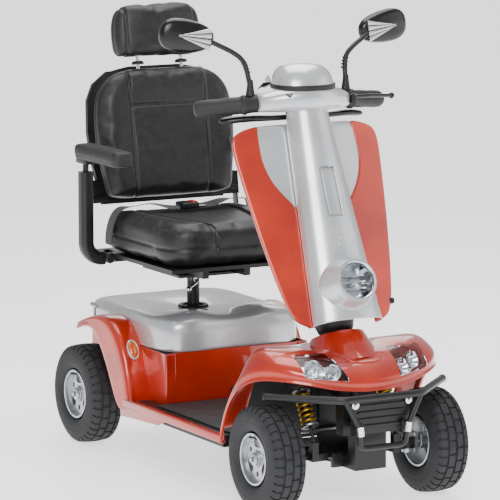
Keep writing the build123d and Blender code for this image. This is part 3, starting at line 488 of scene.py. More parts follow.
def lamp_plastic(name, dark, light):
    """Tinted acrylic lamp lens with prism dots moulded behind it."""
    material, tree, body, place = new_material(
        name, Coat_Weight=0.6, Coat_Roughness=0.05, IOR=1.49)
    prisms = add(tree, "TexVoronoi", {"Scale": size(4.0), "Randomness": 0.0}, Vector=place)
    tones(tree, body, prisms.outputs["Distance"], light, dark, 0.0, 0.6)
    shine(tree, body, prisms.outputs["Distance"], 0.12, 0.3)
    relief(tree, body, prisms.outputs["Distance"], 0.3, 0.5)
    return material


def webbing():
    """Woven nylon belt: fine ribs across its width and slightly shiny threads."""
    material, tree, body, place = new_material("black_webbing", Sheen_Weight=0.4, Sheen_Roughness=0.4)
    across = add(tree, "TexWave", {"Scale": size(14), "bands_direction": "X", "Distortion": 0.3},
                 Vector=place)
    along = add(tree, "TexWave", {"Scale": size(20), "bands_direction": "Y", "Distortion": 0.3},
                Vector=place)
    weave = add(tree, "MixRGB", {"blend_type": "MULTIPLY", "Fac": 0.7},
                Color1=across.outputs["Color"], Color2=along.outputs["Color"])
    tones(tree, body, weave.outputs["Color"], "#0f0f10", "#2a2a2c", 0.1, 0.9)
    shine(tree, body, weave.outputs["Color"], 0.5, 0.75)
    relief(tree, body, weave.outputs["Color"], 0.5, 0.5)
    return material


def mirror_glass():
    """Silvered glass: a near perfect reflector with a faint film of dust."""
    material, tree, body, place = new_material("silvered_glass", Metallic=1.0)
    film = add(tree, "TexNoise", {"Scale": size(40), "Detail": 3.0}, Vector=place)
    tones(tree, body, film.outputs["Fac"], "#D9DEE2", "#E9EDF0")
    shine(tree, body, film.outputs["Fac"], 0.01, 0.05)
    return material


def floor_paint():
    """The studio's pale floor, satin and nearly even."""
    material, tree, body, place = new_material("studio_floor", IOR=1.4)
    cloud = add(tree, "TexNoise", {"Scale": size(900), "Detail": 2.0}, Vector=place)
    tones(tree, body, cloud.outputs["Fac"], "#F2F2F4", "#F7F7F8")
    shine(tree, body, cloud.outputs["Fac"], 0.26, 0.34)
    body.inputs["Emission Color"].default_value = colour("#FFFFFF")
    body.inputs["Emission Strength"].default_value = 1.25
    return material


PAINT = flake_paint("orange_red_lacquer", "#A01200", "#D23000", 0.35, 0.24)
SILVER = flake_paint("silver_lacquer", "#B9BCC0", "#DBDDDF", 0.6, 0.24)
BLACK_STEEL = powder_coat()
BLACK_PLASTIC = moulded_plastic("black_abs", "#0d0d0e", "#19191b", 0.45)
GLOSS_BLACK = moulded_plastic("polished_black_abs", "#070708", "#0f0f10", 0.22, 3.0)
CASE_GREY = moulded_plastic("grey_battery_case", "#3a3b3e", "#4a4b4e", 0.55)
RED_PLASTIC = moulded_plastic("red_button_abs", "#B01414", "#CF2020", 0.4)
HIDE = leatherette()
TYRE = tyre_rubber()
GRIP = soft_rubber("grip_rubber", "#0a0a0b", "#161618")
PAD = soft_rubber("arm_pad_foam_skin", "#131315", "#202023")
MAT = ribbed_mat()
CAST = metal("cast_aluminium", "#A9ACB0", "#C6C9CC", 0.30, 0.45, 2.0, 0.15)
CHROME = metal("chrome_plate", "#DCDFE2", "#F0F2F4", 0.04, 0.10, 30, 0.02)
STEEL = metal("zinc_plated_steel", "#9DA0A3", "#BBBEC1", 0.25, 0.42)
GOLD_SPRING = metal("yellow_spring_enamel", "#B08A14", "#CDA62A", 0.28, 0.40, 5.0, 0.05)
CLEAR = clear_plastic()
AMBER = lamp_plastic("amber_acrylic", "#B8480A", "#F07A1A")
RED_LENS = lamp_plastic("red_acrylic", "#7C0A0A", "#C01818")
WEB = webbing()
GLASS = mirror_glass()


def lathe(profile, at=(0, 0, 0), along=(0, 0, 1), steps=64, closed=False):
    """Spins a profile of (distance along the axis, radius) in millimetres right round."""
    clear_selection()
    mesh = bpy.data.meshes.new("lathe")
    count = len(profile)
    links = [(i, i + 1) for i in range(count - 1)] + ([(count - 1, 0)] if closed else [])
    mesh.from_pydata([(r * MM, 0, h * MM) for h, r in profile], links, [])
    piece = bpy.data.objects.new("lathe", mesh)
    bpy.context.scene.collection.objects.link(piece)
    take(piece)
    bpy.ops.object.mode_set(mode="EDIT")
    bpy.ops.mesh.select_all(action="SELECT")
    bpy.ops.mesh.spin(steps=steps, angle=2 * pi, center=(0, 0, 0), axis=(0, 0, 1))
    bpy.ops.mesh.select_all(action="SELECT")
    bpy.ops.mesh.remove_doubles(threshold=0.00002)
    bpy.ops.mesh.normals_make_consistent(inside=False)
    out_of_edit()
    piece.matrix_world = Matrix.Translation(Vector(at)) @ turned(along).to_matrix().to_4x4()
    bpy.ops.object.transform_apply(location=True, rotation=True, scale=True)
    return piece


def between(table, at):
    """Reads a table of (place, value, ...) rows at a place, in straight steps."""
    for low, high in zip(table, table[1:]):
        if at <= high[0] or high is table[-1]:
            share = min(max((at - low[0]) / (high[0] - low[0]), 0), 1)
            return [a + (b - a) * share for a, b in zip(low[1:], high[1:])]


SIDES = (("left", 1), ("right", -1))


# ------------------------------------------------------------------ wheels
def crown(across):
    return 150 - 0.0022 * across * across


def tyre_profile():
    half = [(2.5, crown(2) - 4.5), (3.6, crown(3.6)), (21.5, crown(21.5)), (22.6, crown(22) - 4.5),
            (27, crown(27) - 4.5), (28, crown(28)), (39, crown(39)), (42, 144.5), (48.5, 134), (51.5, 124),
            (52.6, 117), (52.9, 112), (52.3, 110), (52.9, 108), (52.6, 100), (50, 89), (47.5, 83), (43,
                79), (34, 76)]
    return [(-across, radius) for across, radius in reversed(half)] + half


def make_tyre(at):
    steps = 144
    tyre = lathe(tyre_profile(), along=(1, 0, 0), steps=steps, closed=True)

    def lug_gap(centre, normal):
        place = int((atan2(centre.y, centre.z) / (2 * pi) + 1) * steps + 0.01) % steps
        radius = (centre.y ** 2 + centre.z ** 2) ** 0.5
        across = abs(centre.x)
        shoulder = 0.0415 < across < 0.049 and radius > 0.134 and place % 4 == 0
        outer_rib = 0.030 < across < 0.041 and radius > 0.142 and place % 4 == 0
        middle_rib = 0.004 < across < 0.021 and radius > 0.148 and place % 6 == (0 if centre.x > 0 else 3)
        return shoulder or outer_rib or middle_rib

    pick(tyre, lug_gap)
    bpy.ops.mesh.extrude_region_shrink_fatten(
        MESH_OT_extrude_region={}, TRANSFORM_OT_shrink_fatten={"value": -0.003})
    out_of_edit()
    tyre.location = at
    return tyre


def make_wheels():
    for end, x, y in (("front", 0.264, -0.520), ("rear", 0.279, 0.570)):
        for place, side in SIDES:
            wheel = f"{end}_{place}"
            body = f"wheel_{wheel}"
            at = Vector((side * x, y, 0.150))
            out = Vector((side, 0, 0))
            settle(make_tyre(at), f"tread_{wheel}", TYRE, body, [f"tyre_{wheel}"], angle=40)
            from_cad(f"rim_{wheel}", CAST, 0.0026)
            cap = lathe([(0, 19), (4, 19), (6, 17), (7.5, 9), (7.5, 0)], at + out * 0.0385, out, 40)
            settle(cap, f"hub_cap_{wheel}", CAST, body)
            nut = disc(at + out * 0.045, at + out * 0.053, 0.0085, 6)
            apply(nut, "BEVEL", width=0.0012, segments=2, limit_method="ANGLE")
            settle(nut, f"hub_nut_{wheel}", STEEL, body)
            foot = at + out * 0.030 + Vector((0, 0, 0.058))
            valve = lathe([(0, 4), (5, 4), (7, 2.6), (20, 2.6), (21, 3.2), (28, 3.2), (29, 0)], foot,
                          (side, 0, 0.25), 20)
            settle(valve, f"valve_{wheel}", GRIP, body)


# ------------------------------------------------------------------ front cowl and lamps
COWL_INNER = ((0, -372, 438), (30, -376, 438), (62, -386, 438), (95, -398, 438), (128, -404, 437),
              (160, -404, 437), (190, -404, 436), (215, -404, 434), (232, -406, 420), (236, -407, 372),
              (238, -392, 325), (239, -358, 258), (240, -336, 200))
COWL_OUTER = ((0, -674, 374, 341), (48, -670, 376, 342), (92, -661, 380, 345), (142, -643, 387, 353),
              (194, -619, 396, 366), (234, -587, 406, 371), (264, -548, 412, 372), (288, -500, 406, 366),
              (303, -450, 382, 343), (309, -412, 342, 309), (312, -378, 292, 258), (314, -352, 240, 195),
              (313, -336, 196, 156))


def cowl_rows():
    """Rows run from the hood's rear edge to the fender lips, columns round the nose from foot to foot."""
    order = list(range(12, 0, -1)) + list(range(13))
    signs = [-1] * 12 + [1] * 13
    rows = []
    for share in (0, 0.2, 0.42, 0.62, 0.78, 0.92):
        row = []
        for column, sign in zip(order, signs):
            inner, outer = COWL_INNER[column], COWL_OUTER[column]
            tail = column > 8
            fall = share if tail else share ** 4.5
            bulge = 9 if tail else (5 if column < 4 else 16)
            height = inner[2] + (outer[2] - inner[2]) * fall + bulge * sin(pi * share)
            row.append((sign * (inner[0] + (outer[0] - inner[0]) * share) * MM,
                        (inner[1] + (outer[1] - inner[1]) * share) * MM, height * MM))
        rows.append(row)
    for out, drop in ((0, 0), (3, 0.35), (2, 0.75), (7, 0.94), (6, 1.0), (-4, 1.0)):
        row = []
        for column, sign in zip(order, signs):
            x, y, top, low = COWL_OUTER[column]
            away = Vector((x, y + 450, 0)).normalized() * out
            row.append((sign * (x + away.x) * MM, (y + away.y) * MM, (top + (low - top) * drop) * MM))
        rows.append(row)
    return rows


def lamp_prism(side, shrink):
    """The wedge that a headlight fills, seen from the front."""
    corners = ((80, 372), (98, 436), (202, 440), (197, 384))
    middle = Vector((144, 407))
    clear_selection()
    bpy.ops.mesh.primitive_cube_add(size=1)
    tool = bpy.context.object
    for vertex in tool.data.vertices:
        column = (0 if vertex.co.x < 0 else 3) if vertex.co.z < 0 else (1 if vertex.co.x < 0 else 2)
        corner = Vector(corners[column])
        corner += (middle - corner).normalized() * shrink
        vertex.co = (side * corner.x * MM, -0.76 if vertex.co.y < 0 else -0.50, corner.y * MM)
    take(tool)
    bpy.ops.object.mode_set(mode="EDIT")
    bpy.ops.mesh.select_all(action="SELECT")
    bpy.ops.mesh.normals_make_consistent(inside=False)
    out_of_edit()
    apply(tool, "BEVEL", width=0.006, segments=3, limit_method="NONE")
    return tool


def duplicate(piece):
    copy = bpy.data.objects.new(piece.name + "_copy", piece.data.copy())
    copy.matrix_world = piece.matrix_world
    bpy.context.scene.collection.objects.link(copy)
    return copy


def make_cowl():
    shell = skin(cowl_rows(), levels=2, thick=0.004)
    for place, side in SIDES:
        lens = duplicate(shell)
        cut(lens, lamp_prism(side, 1.2), "INTERSECT")
        back = duplicate(lens)
        back.location = Vector((-side * 8, 34, -16)) * MM
        settle(lens, f"lamp_cover_{place}", CLEAR, "chassis", for_pair(side, "headlights"), angle=50)
        settle(back, f"lamp_reflector_{place}", CHROME, "chassis")
        facing = Vector((side * 0.36, -0.84, 0.40))
        for x, y, z, radius in ((112, -640, 398, 21), (160, -612, 408, 23)):
            bowl = lathe([(-16, 5), (-14, radius * 0.55), (-6, radius * 0.85), (2, radius), (3, radius + 2),
                          (1, radius + 2), (-8, radius)],
                         Vector((side * x, y + 20, z - 6)) * MM, facing, 40)
            settle(bowl, f"lamp_bowl_{place}_{x}", CHROME, "chassis", angle=50)
            bulb = lathe([(-14, 3), (-2, 4), (4, 3), (6, 0)], Vector((side * x, y + 20, z - 6)) * MM,
                         facing, 20)
            settle(bulb, f"lamp_bulb_{place}_{x}", SILVER, "chassis")
    for place, side in SIDES:
        cut(shell, lamp_prism(side, 0))
    cut(shell, disc(NECK_AT - UP * 0.13, NECK_AT + UP * 0.10, 0.062))
    neck = lathe([(-88, 126), (-62, 107), (-40, 95), (-15, 85), (0, 79), (6, 76), (7, 72), (2, 70),
                  (-60, 88)], NECK_AT, UP, 72)
    pick(neck, lambda centre, normal: True)
    bpy.ops.mesh.bisect(plane_co=(0, 0, 0.414), plane_no=(0, 0, 1), clear_inner=True)
    out_of_edit()
    settle(neck, "steering_neck", PAINT, "chassis")
    gaiter = lathe([(12, 24), (14, 44), (20, 50), (40, 56), (58, 60), (66, 58), (66, 40)], NECK_AT, UP, 48)
    settle(gaiter, "neck_gaiter", BLACK_PLASTIC, "tiller")
    bead = []
    for step in range(13):
        across = (step - 6) / 6
        hit = shell.closest_point_on_mesh(Vector((0.062 * across, -0.600 - 0.045 * (1 - across ** 4),
                                                  0.46)))
        bead.append(hit[1] + hit[2] * 0.0004)
    settle(pipe(bead, 0.0028, sides=4), "hood_crease", PAINT, "chassis")
    settle(shell, "hood_and_fenders", PAINT, "chassis", ["front_cowl"], angle=50)


# ------------------------------------------------------------------ bumper
def make_bumper():
    from_cad("front_bumper", BLACK_STEEL, 0.0006)
    for row in range(4):
        height = 0.246 + row * 0.019
        rib = rounded((-0.074, -0.697, height), (0.074, -0.690, height + 0.007), 0.0025, 3)
        settle(rib, f"plate_rib_{row + 1}", BLACK_PLASTIC, "chassis")
    for place, side in SIDES:
        at = Vector((side * 0.086, -0.700, 0.312))
        washer = lathe([(0, 11), (2, 11), (2.4, 10), (2.4, 0)], at, (0, -1, 0), 32)
        head = disc(at + Vector((0, -0.002, 0)), at + Vector((0, -0.0085, 0)), 0.0065, 6)
        apply(head, "BEVEL", width=0.001, segments=2, limit_method="ANGLE")
        settle(join([washer, head]), f"plate_bolt_{place}", CHROME, "chassis")
        tip = lathe([(-2, 11.6), (3, 11.6), (6, 9), (7, 0)], Vector((side * 0.287, -0.551, 0.329)),
                    (side * 0.73, 0.68, 0), 32)
        settle(tip, f"bumper_cap_{place}", BLACK_PLASTIC, "chassis")
        clip = lathe([(-14, 9.2), (-13, 10.5), (13, 10.5), (14, 9.2)],
                     Vector((side * 0.076, -0.7125, 0.240)),
                     (side * 0.12, 0.02, 1), 32)
        settle(clip, f"bumper_clamp_{place}", CHROME, "chassis")


# ------------------------------------------------------------------ suspension springs
def helix(foot, head, turns, reach, across, along):
    """Points up a coil from foot to head, 14 to a turn."""
    points = []
    for step in range(int(turns * 14) + 1):
        share = step / (turns * 14)
        angle = 2 * pi * turns * share
        points.append(foot + (head - foot) * share + (across * cos(angle) + along * sin(angle)) * reach)
    return points


def make_springs():
    foot, head = Vector((0, -0.550, 0.192)), Vector((0, -0.475, 0.326))
    stroke = head - foot
    side_axis = Vector((1, 0, 0))
    cross = stroke.normalized().cross(side_axis)
    for place, side in SIDES:
        base = foot + side_axis * side * 0.132
        coil = pipe(helix(base + stroke * 0.30, base + stroke * 0.92, 6.5, 0.0205, side_axis, cross), 0.0036,
                    sides=3)
        settle(coil, f"coil_{place}", GOLD_SPRING, "chassis", [f"front_spring_{place}"], angle=60)
        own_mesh(coil)
        for end, share in (("lower", 0.27), ("upper", 0.935)):
            seat = lathe([(-3, 15), (-2.5, 26), (2.5, 26), (3, 15)], base + stroke * share, stroke, 40,
                         closed=True)
            settle(seat, f"spring_seat_{end}_{place}", STEEL,
                   "chassis" if share > 0.5 else f"front_arm_{place}")
    for place, side in SIDES:
        low, high = (Vector((side * 0.150, 0.570, z)) for z in (0.1822, 0.2258))
        coil = pipe(helix(low, high, 4.5, 0.0185, side_axis, Vector((0, 1, 0))), 0.0034, sides=3)
        settle(coil, f"rear_coil_{place}", GOLD_SPRING, "chassis", for_pair(side, "rear_springs"), angle=60)
        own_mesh(coil)


# ------------------------------------------------------------------ floor, sills and rear body
def make_floor():
    from_cad("floor_pan", BLACK_PLASTIC, 0.003)
    mat = rounded((-0.272, -0.312, 0.1825), (0.272, 0.130, 0.1875), 0.0018, 2)
    settle(mat, "floor_mat", MAT, "chassis")
    for place, side in SIDES:
        sill = slab((side * 0.294, -0.336, 0.160), (side * 0.311, 0.300, 0.186))
        apply(sill, "BEVEL", width=0.005, segments=3, limit_method="NONE")
        settle(sill, f"sill_{place}", PAINT, "chassis")
        flare = [(-0.336, 0.160), (0.01, 0.160), (0.055, 0.142), (0.296, 0.130), (0.300, 0.186),
                 (-0.336, 0.186)]
        panel = skin([[(side * x, y, z) for y, z in flare] for x in (0.300, 0.309)], wrap=True, levels=0)
        cap_ends(panel)
        apply(panel, "BEVEL", width=0.003, segments=3, limit_method="ANGLE")
        settle(panel, f"side_skirt_{place}", PAINT, "chassis")


FENDER_TOP = ((0, 234, 152), (1, 252, 225), (2, 272, 290), (3, 304, 345), (4, 348, 392), (5, 392, 408),
              (6, 440, 411), (7, 512, 397), (8, 586, 369))
FENDER_LIP = ((0, 300, 150), (1, 330, 178), (2, 352, 214), (3, 378, 258), (4, 408, 300), (5, 440, 338),
              (6, 472, 366), (7, 524, 368), (8, 586, 345))


def make_fenders():
    for place, side in SIDES:
        rows = []
        for (_, y, z), (_, lip_y, lip_z) in zip(FENDER_TOP, FENDER_LIP):
            across = [(232, -1), (246, 0), (272, 3), (294, 2), (305, -2)]
            row = [(side * x * MM, (y - rise * 0.6) * MM, (z + rise * 0.8) * MM) for x, rise in across]
            for x, share in ((310, 0.14), (311, 0.5), (314, 0.86), (313, 1.0), (303, 1.0)):
                row.append((side * x * MM, (y + (lip_y - y) * share) * MM, (z + (lip_z - z) * share) * MM))
            rows.append(row)
        shell = skin(rows, levels=2, thick=0.004)
        settle(shell, f"rear_fender_{place}", PAINT, "chassis", for_pair(side, "rear_fenders"), angle=50)
        slope = Vector((0, -0.86, 0.51))
        at = Vector((side * 0.270, 0.286, 0.327))
        marker = lathe([(-3, 15), (2, 15), (5, 12.5), (6.5, 7), (7, 0)], at, slope, 40)
        stretch = (Matrix.Translation(at) @ Matrix.Scale(1.75, 4, Vector((0, 0.51, 0.86)))
                   @ Matrix.Translation(-at))
        marker.data.transform(stretch)
        rim = lathe([(-3, 14.5), (-3, 18.5), (1.5, 18), (2.5, 16.5), (1, 14.5)], at, slope, 40, closed=True)
        rim.data.transform(stretch)
        settle(marker, f"side_marker_{place}", AMBER, "chassis", for_pair(side, "signal_lamps"))
        settle(rim, f"marker_rim_{place}", SILVER, "chassis")
        tail = rounded((side * 0.140, 0.689, 0.262), (side * 0.196, 0.700, 0.312), 0.004, 3)
        settle(tail, f"tail_lamp_{place}", RED_LENS, "chassis")


def make_rear_body():
    from_cad("rear_body", PAINT, 0.005)
    for place, side in SIDES:
        rail = slab((side * 0.205, 0.1335, 0.178), (side * 0.2385, 0.1415, 0.332))
        apply(rail, "BEVEL", width=0.0035, segments=3, limit_method="NONE")
        settle(rail, f"front_rib_{place}", PAINT, "chassis")
    socket = slab((-0.02, 0.1355, 0.196), (0.02, 0.1395, 0.218))
    apply(socket, "BEVEL", width=0.0018, segments=3, limit_method="NONE")
    settle(socket, "charge_flap", BLACK_PLASTIC, "chassis")


def make_cover():
    """The silver battery cover: two soft humps in front, a flute between them, a dish round the post."""
    columns = 64
    rows = []
    centre = Vector((0, 0.413))
    for reach, drop in ((0.02, 4), (0.20, 3), (0.42, 0), (0.64, 0), (0.82, 1), (0.93, 4), (0.985, 14),
                        (1.0, 34), (1.003, 62), (1.006, 92), (0.995, 95)):
        row = []
        for column in range(columns):
            angle = 2 * pi * column / columns
            c, s = cos(angle), sin(angle)
            power = 0.30
            x = 236 * (abs(c) ** power) * (1 if c > 0 else -1)
            y = 281 * (abs(s) ** power) * (1 if s > 0 else -1)
            hole = Vector((37 * c, 37 * s))
            x, y = hole.x + (x - hole.x) * reach, hole.y + (y - hole.y) * reach
            height = 429 - drop
            if reach < 1:
                front = max(0, min(1, (-y - 90) / 110))
                hump = 20 * cos(min(abs(abs(x) - 118) / 105, 1) * pi / 2) * front
                height += hump * (1 - reach ** 8) - 7 * max(0, 1 - reach / 0.3)
            flute = max(0, 1 - abs(x) / 46) ** 0.7 * max(0, min(1, (-y - 60) / 120))
            height -= 12 * flute if reach < 0.95 else 0
            y += 15 * flute if reach > 0.9 else 0
            row.append((x * MM, 0.413 + y * MM, height * MM))
        rows.append(row)
    shell = skin(rows, wrap=True, levels=1, thick=0.0035)
    settle(shell, "silver_cover", SILVER, "cover", ["battery_cover"], angle=50)
    collar = lathe([(0, 33), (6, 33), (7, 36), (7, 44), (5, 46), (0, 46)], (0, 0.413, 0.4170), (0, 0, 1),
                   48, closed=True)
    settle(collar, "post_collar", BLACK_PLASTIC, "cover")


# ------------------------------------------------------------------ tiller shield
SHIELD_EDGE = ((0, 108), (20, 148), (67, 170), (164, 190), (270, 207), (378, 221), (460, 230), (525, 236),
               (556, 234), (574, 224), (586, 196), (592, 156))
TRIM_EDGE = ((340, 78), (358, 92), (378, 108), (400, 124), (428, 141), (465, 153), (500, 158), (560, 156),
             (592, 153))
SHIELD_ROWS = (0, 8, 20, 40, 67, 115, 164, 217, 270, 315, 340, 358, 378, 400, 428, 465, 500, 530, 556, 574,
               586, 592)


def spine_half(up):
    return 109 - 41 * up / 588


def bow(x):
    return -24 * (x / 245) ** 2


def make_shield():
    for place, side in SIDES:
        rows = []
        for up in SHIELD_ROWS:
            outer = between(SHIELD_EDGE, up)[0]
            inner = spine_half(up) - 12 if up < 340 else between(TRIM_EDGE, up)[0]
            inner = min(inner, outer - 3)
            row = [on_shield(side * inner, up, bow(inner) - 7)]
            for share in (0, 0.08, 0.36, 0.64, 0.9, 1.0):
                x = inner + (outer - inner) * share
                row.append(on_shield(side * x, up, bow(x)))
            row += [on_shield(side * (outer + 1), up, bow(outer) - 5),
                    on_shield(side * (outer - 1), up, bow(outer) - 14)]
            rows.append(row)
        rows = ([[point - AHEAD * 0.010 for point in rows[0]]] + rows
                + [[point - AHEAD * 0.008 for point in rows[-1]]])
        panel = skin(rows, levels=2, thick=0.003)
        settle(panel, f"red_shield_{place}", PAINT, "tiller", for_pair(side, "shield_panel"), angle=50)
        rows = []
        for up in (325, 345, 370, 400, 428, 465, 500, 545, 585, 595):
            inner, outer = spine_half(up) - 14, between(TRIM_EDGE, up)[0] + 6
            drop = 3.5 if up < 590 else 10
            rows.append([on_shield(side * (inner + (outer - inner) * share), up,
                                   bow(inner + (outer - inner) * share) - drop)
                         for share in (0, 0.3, 0.6, 1)])
        insert = skin(rows, levels=2, thick=0.003)
        settle(insert, f"silver_insert_{place}", SILVER, "tiller", for_pair(side, "shield_insert"),
               angle=50)


def in_shield_frame(piece):
    """Moves a piece modelled about the origin, with x across, y up and z out, onto the shield."""
    turn = Matrix((Vector((1, 0, 0)), UP, AHEAD)).transposed().to_4x4()
    piece.data.transform(Matrix.Translation(SHIELD_AT) @ turn)
    return piece


def make_spine():
    rows = []
    ups = (-1, 0, 6, 30, 70, 110, 150, 200, 250, 285, 300, 340, 400, 440, 455, 500, 550, 590, 618, 620)
    for up in ups:
        half = spine_half(up)
        crown = 66 if 0 <= up < 620 else 62
        row = []
        for step in range(21):
            angle = pi * (step / 20)
            x = -half * cos(angle)
            out = -1 + crown * sin(angle) ** 0.85
            row.append(on_shield(x, up, max(out, 16) if up > 590 else out))
        rows.append(row)
    spine = skin(rows, levels=2, thick=0.003)
    hole = in_shield_frame(disc((0, 0.100, 0), (0, 0.100, 0.120), 0.0885, 64))
    slot = in_shield_frame(rounded((-0.026, 0.296, 0.040), (0.026, 0.443, 0.080), 0.008, 4))
    cut(spine, hole)
    cut(spine, slot)
    settle(spine, "silver_spine", SILVER, "tiller", ["spine_cover"], angle=40)
    tray = in_shield_frame(rounded((-0.0275, 0.2945, 0.046), (0.0275, 0.4445, 0.0545), 0.003, 3))
    settle(tray, "spine_slot_tray", SILVER, "tiller")
    plate = in_shield_frame(rounded((-0.019, 0.303, 0.0545), (0.019, 0.436, 0.0595), 0.0022, 3))
    settle(plate, "spine_slot_plate", SILVER, "tiller")
    button = lathe([(-4, 12.5), (1.2, 12.5), (2.2, 11.5), (2.6, 7), (2.7, 0)], on_shield(0, 223, 64.5),
                   AHEAD, 40)
    settle(button, "spine_button", SILVER, "tiller")
    latch = in_shield_frame(rounded((0.156, 0.050, -0.026), (0.176, 0.066, -0.010), 0.003, 3))
    settle(latch, "shield_latch", BLACK_PLASTIC, "tiller")


def make_headlamp():
    lamp = on_shield(0, 100, 0)
    dome = [(3, 91), (10, 90.5), (30, 88), (52, 82), (72, 74), (88, 66.5), (96, 64), (98, 62.5),
            (103, 62.5), (106, 61), (106, 56), (103, 53), (96, 51), (60, 50), (3, 50)]
    settle(lathe(dome, lamp, AHEAD, 80, closed=True), "lamp_dome", SILVER, "tiller", ["headlamp_housing"],
           angle=30)
    ring = [(97, 50.5), (106, 51.5), (108, 53.5), (107.5, 56.5), (104, 57.5), (99, 56)]
    settle(lathe(ring, lamp, AHEAD, 80, closed=True), "lamp_bezel", CHROME, "tiller")
    bowl = [(98, 49), (84, 47), (66, 40), (50, 28), (42, 13), (42, 0), (38, 0), (40, 20), (50, 36),
            (66, 46), (96, 50)]
    settle(lathe(bowl, lamp, AHEAD, 64), "lamp_reflector", CHROME, "tiller", angle=60)
    for step in range(3):
        shelf = in_shield_frame(rounded((-0.034, 0.078 + 0.018 * step, 0.060),
                                        (0.034, 0.083 + 0.018 * step, 0.088), 0.0015, 2))
        settle(shelf, f"lamp_shelf_{step + 1}", CHROME, "tiller")
    bulb = lathe([(42, 9), (62, 9), (66, 12), (72, 13), (80, 8), (83, 0)], lamp, AHEAD, 32)
    settle(bulb, "lamp_bulb", SILVER, "tiller")
    glass = [(110, 0), (108.6, 22), (105, 38), (99.5, 49.5), (97, 49.5), (102, 37), (105.6, 21), (107, 0)]
    settle(lathe(glass, lamp, AHEAD, 64), "lamp_glass", CLEAR, "tiller", ["headlamp_lens"], angle=60)


# ------------------------------------------------------------------ console, handlebar and mirrors
def prism(outline, place):
    """An outline drawn out between depths 0 and 1 by place(a, b, depth), in mm, as a closed solid."""
    piece = skin([[Vector(place(a, b, depth)) * MM for a, b in outline] for depth in (0, 1)], wrap=True,
                 levels=0)
    cap_ends(piece)
    return piece


def oval(count, power, power_b=None):
    """Points round a softened rectangle that just fills the square from -1 to 1."""
    for step in range(count):
        c, s = cos(2 * pi * step / count), sin(2 * pi * step / count)
        yield abs(c) ** power * (1 if c > 0 else -1), abs(s) ** (power_b or power) * (1 if s > 0 else -1)


def make_console():
    rows = []
    for x in (-144, -141, -128, -105, -75, -40, 0, 40, 75, 105, 128, 141, 144):
        out = (x / 144) ** 2
        shrink = 0.86 if abs(x) == 144 else 1
        top, low = 1162 - 34 * out, 1079 + 2 * out
        front, rear = -340 + 66 * out, -128 - 60 * out
        rows.append([(x * MM, ((front + rear) / 2 + a * shrink * (rear - front) / 2) * MM,
                      ((top + low) / 2 + b * shrink * (top - low) / 2) * MM) for a, b in oval(28, 0.66)])
    body = skin(rows, wrap=True, levels=2)
    cap_ends(body)
    for side in (1, -1):
        cut(body, disc((side * 0.105, -0.2455, 1.107), (side * 0.200, -0.212, 1.100), 0.0255, 40))
    rows = []
    for up, reach in ((-46, 0.97), (-14, 1.0), (0, 1.0), (3, 0.985), (22, 0.95), (42, 0.84), (56, 0.66),
                      (64, 0.44), (67.5, 0.2), (68, 0.02)):
        lean = 0.22 * max(up, 0)
        rows.append([(a * 92 * reach * MM, (-256 + lean + b * (74 if b < 0 else 88) * reach) * MM,
                      (1152 + up) * MM)
                     for a, b in oval(32, 0.92)])
    pod = skin(rows, wrap=True, levels=2)
    cap_ends(pod)
    settle(pod, "console_pod", SILVER, "tiller", angle=40)
    recess = prism(((-92, 1136), (-66, 1138), (-77, 1124)), lambda x, z, depth: (x, -350 + 55 * depth, z))
    cut(body, recess)
    rows = [[(a * (92 + out) * MM, (-256 + b * ((74 if b < 0 else 88) + out)) * MM, (1152 + up) * MM)
             for a, b in oval(32, 0.92)]
            for up, out in ((-12, 1), (-10, 2.6), (5, 2.6), (6.5, 1), (5, -1))]
    settle(skin(rows, wrap=True, levels=2), "console_pod_seal", BLACK_PLASTIC, "tiller", angle=40)
    settle(body, "console_shell", SILVER, "tiller", ["console"], angle=40)
    dash = Vector((0, -0.155, 1.140))
    out = Vector((0, 0.539, 0.842))
    plate = rounded((-0.088, -0.030, -0.004), (0.088, 0.026, 0.0015), 0.0012, 2)
    turn = Matrix((Vector((1, 0, 0)), out.cross(Vector((1, 0, 0))), out)).transposed().to_4x4()
    plate.data.transform(Matrix.Translation(dash) @ turn)
    settle(plate, "dash_plate", GLOSS_BLACK, "tiller")


GRIP_START = Vector((0.132, -0.237, 1.105))
GRIP_WAY = Vector((0.9238, 0.3718, -0.0901))
# x, y, z, half depth and half thickness along the bar, in millimetres
THROTTLE_BAR = ((4, -244, 1062, 13, 8), (40, -244, 1062, 13, 8), (100, -240, 1061, 15, 8),
                (140, -224, 1062, 20, 9), (180, -206, 1060, 25, 10), (212, -194, 1056, 24, 9.5),
                (229, -188, 1054, 16, 7), (233, -187, 1053, 5, 2.5))
MIRROR_STEM = ((156, -227, 1152), (159, -214, 1200), (170, -206, 1230), (200, -198, 1252),
               (236, -186, 1270), (262, -176, 1284))
MIRROR_HALF_WIDTH, MIRROR_HALF_HEIGHT = 83, 47


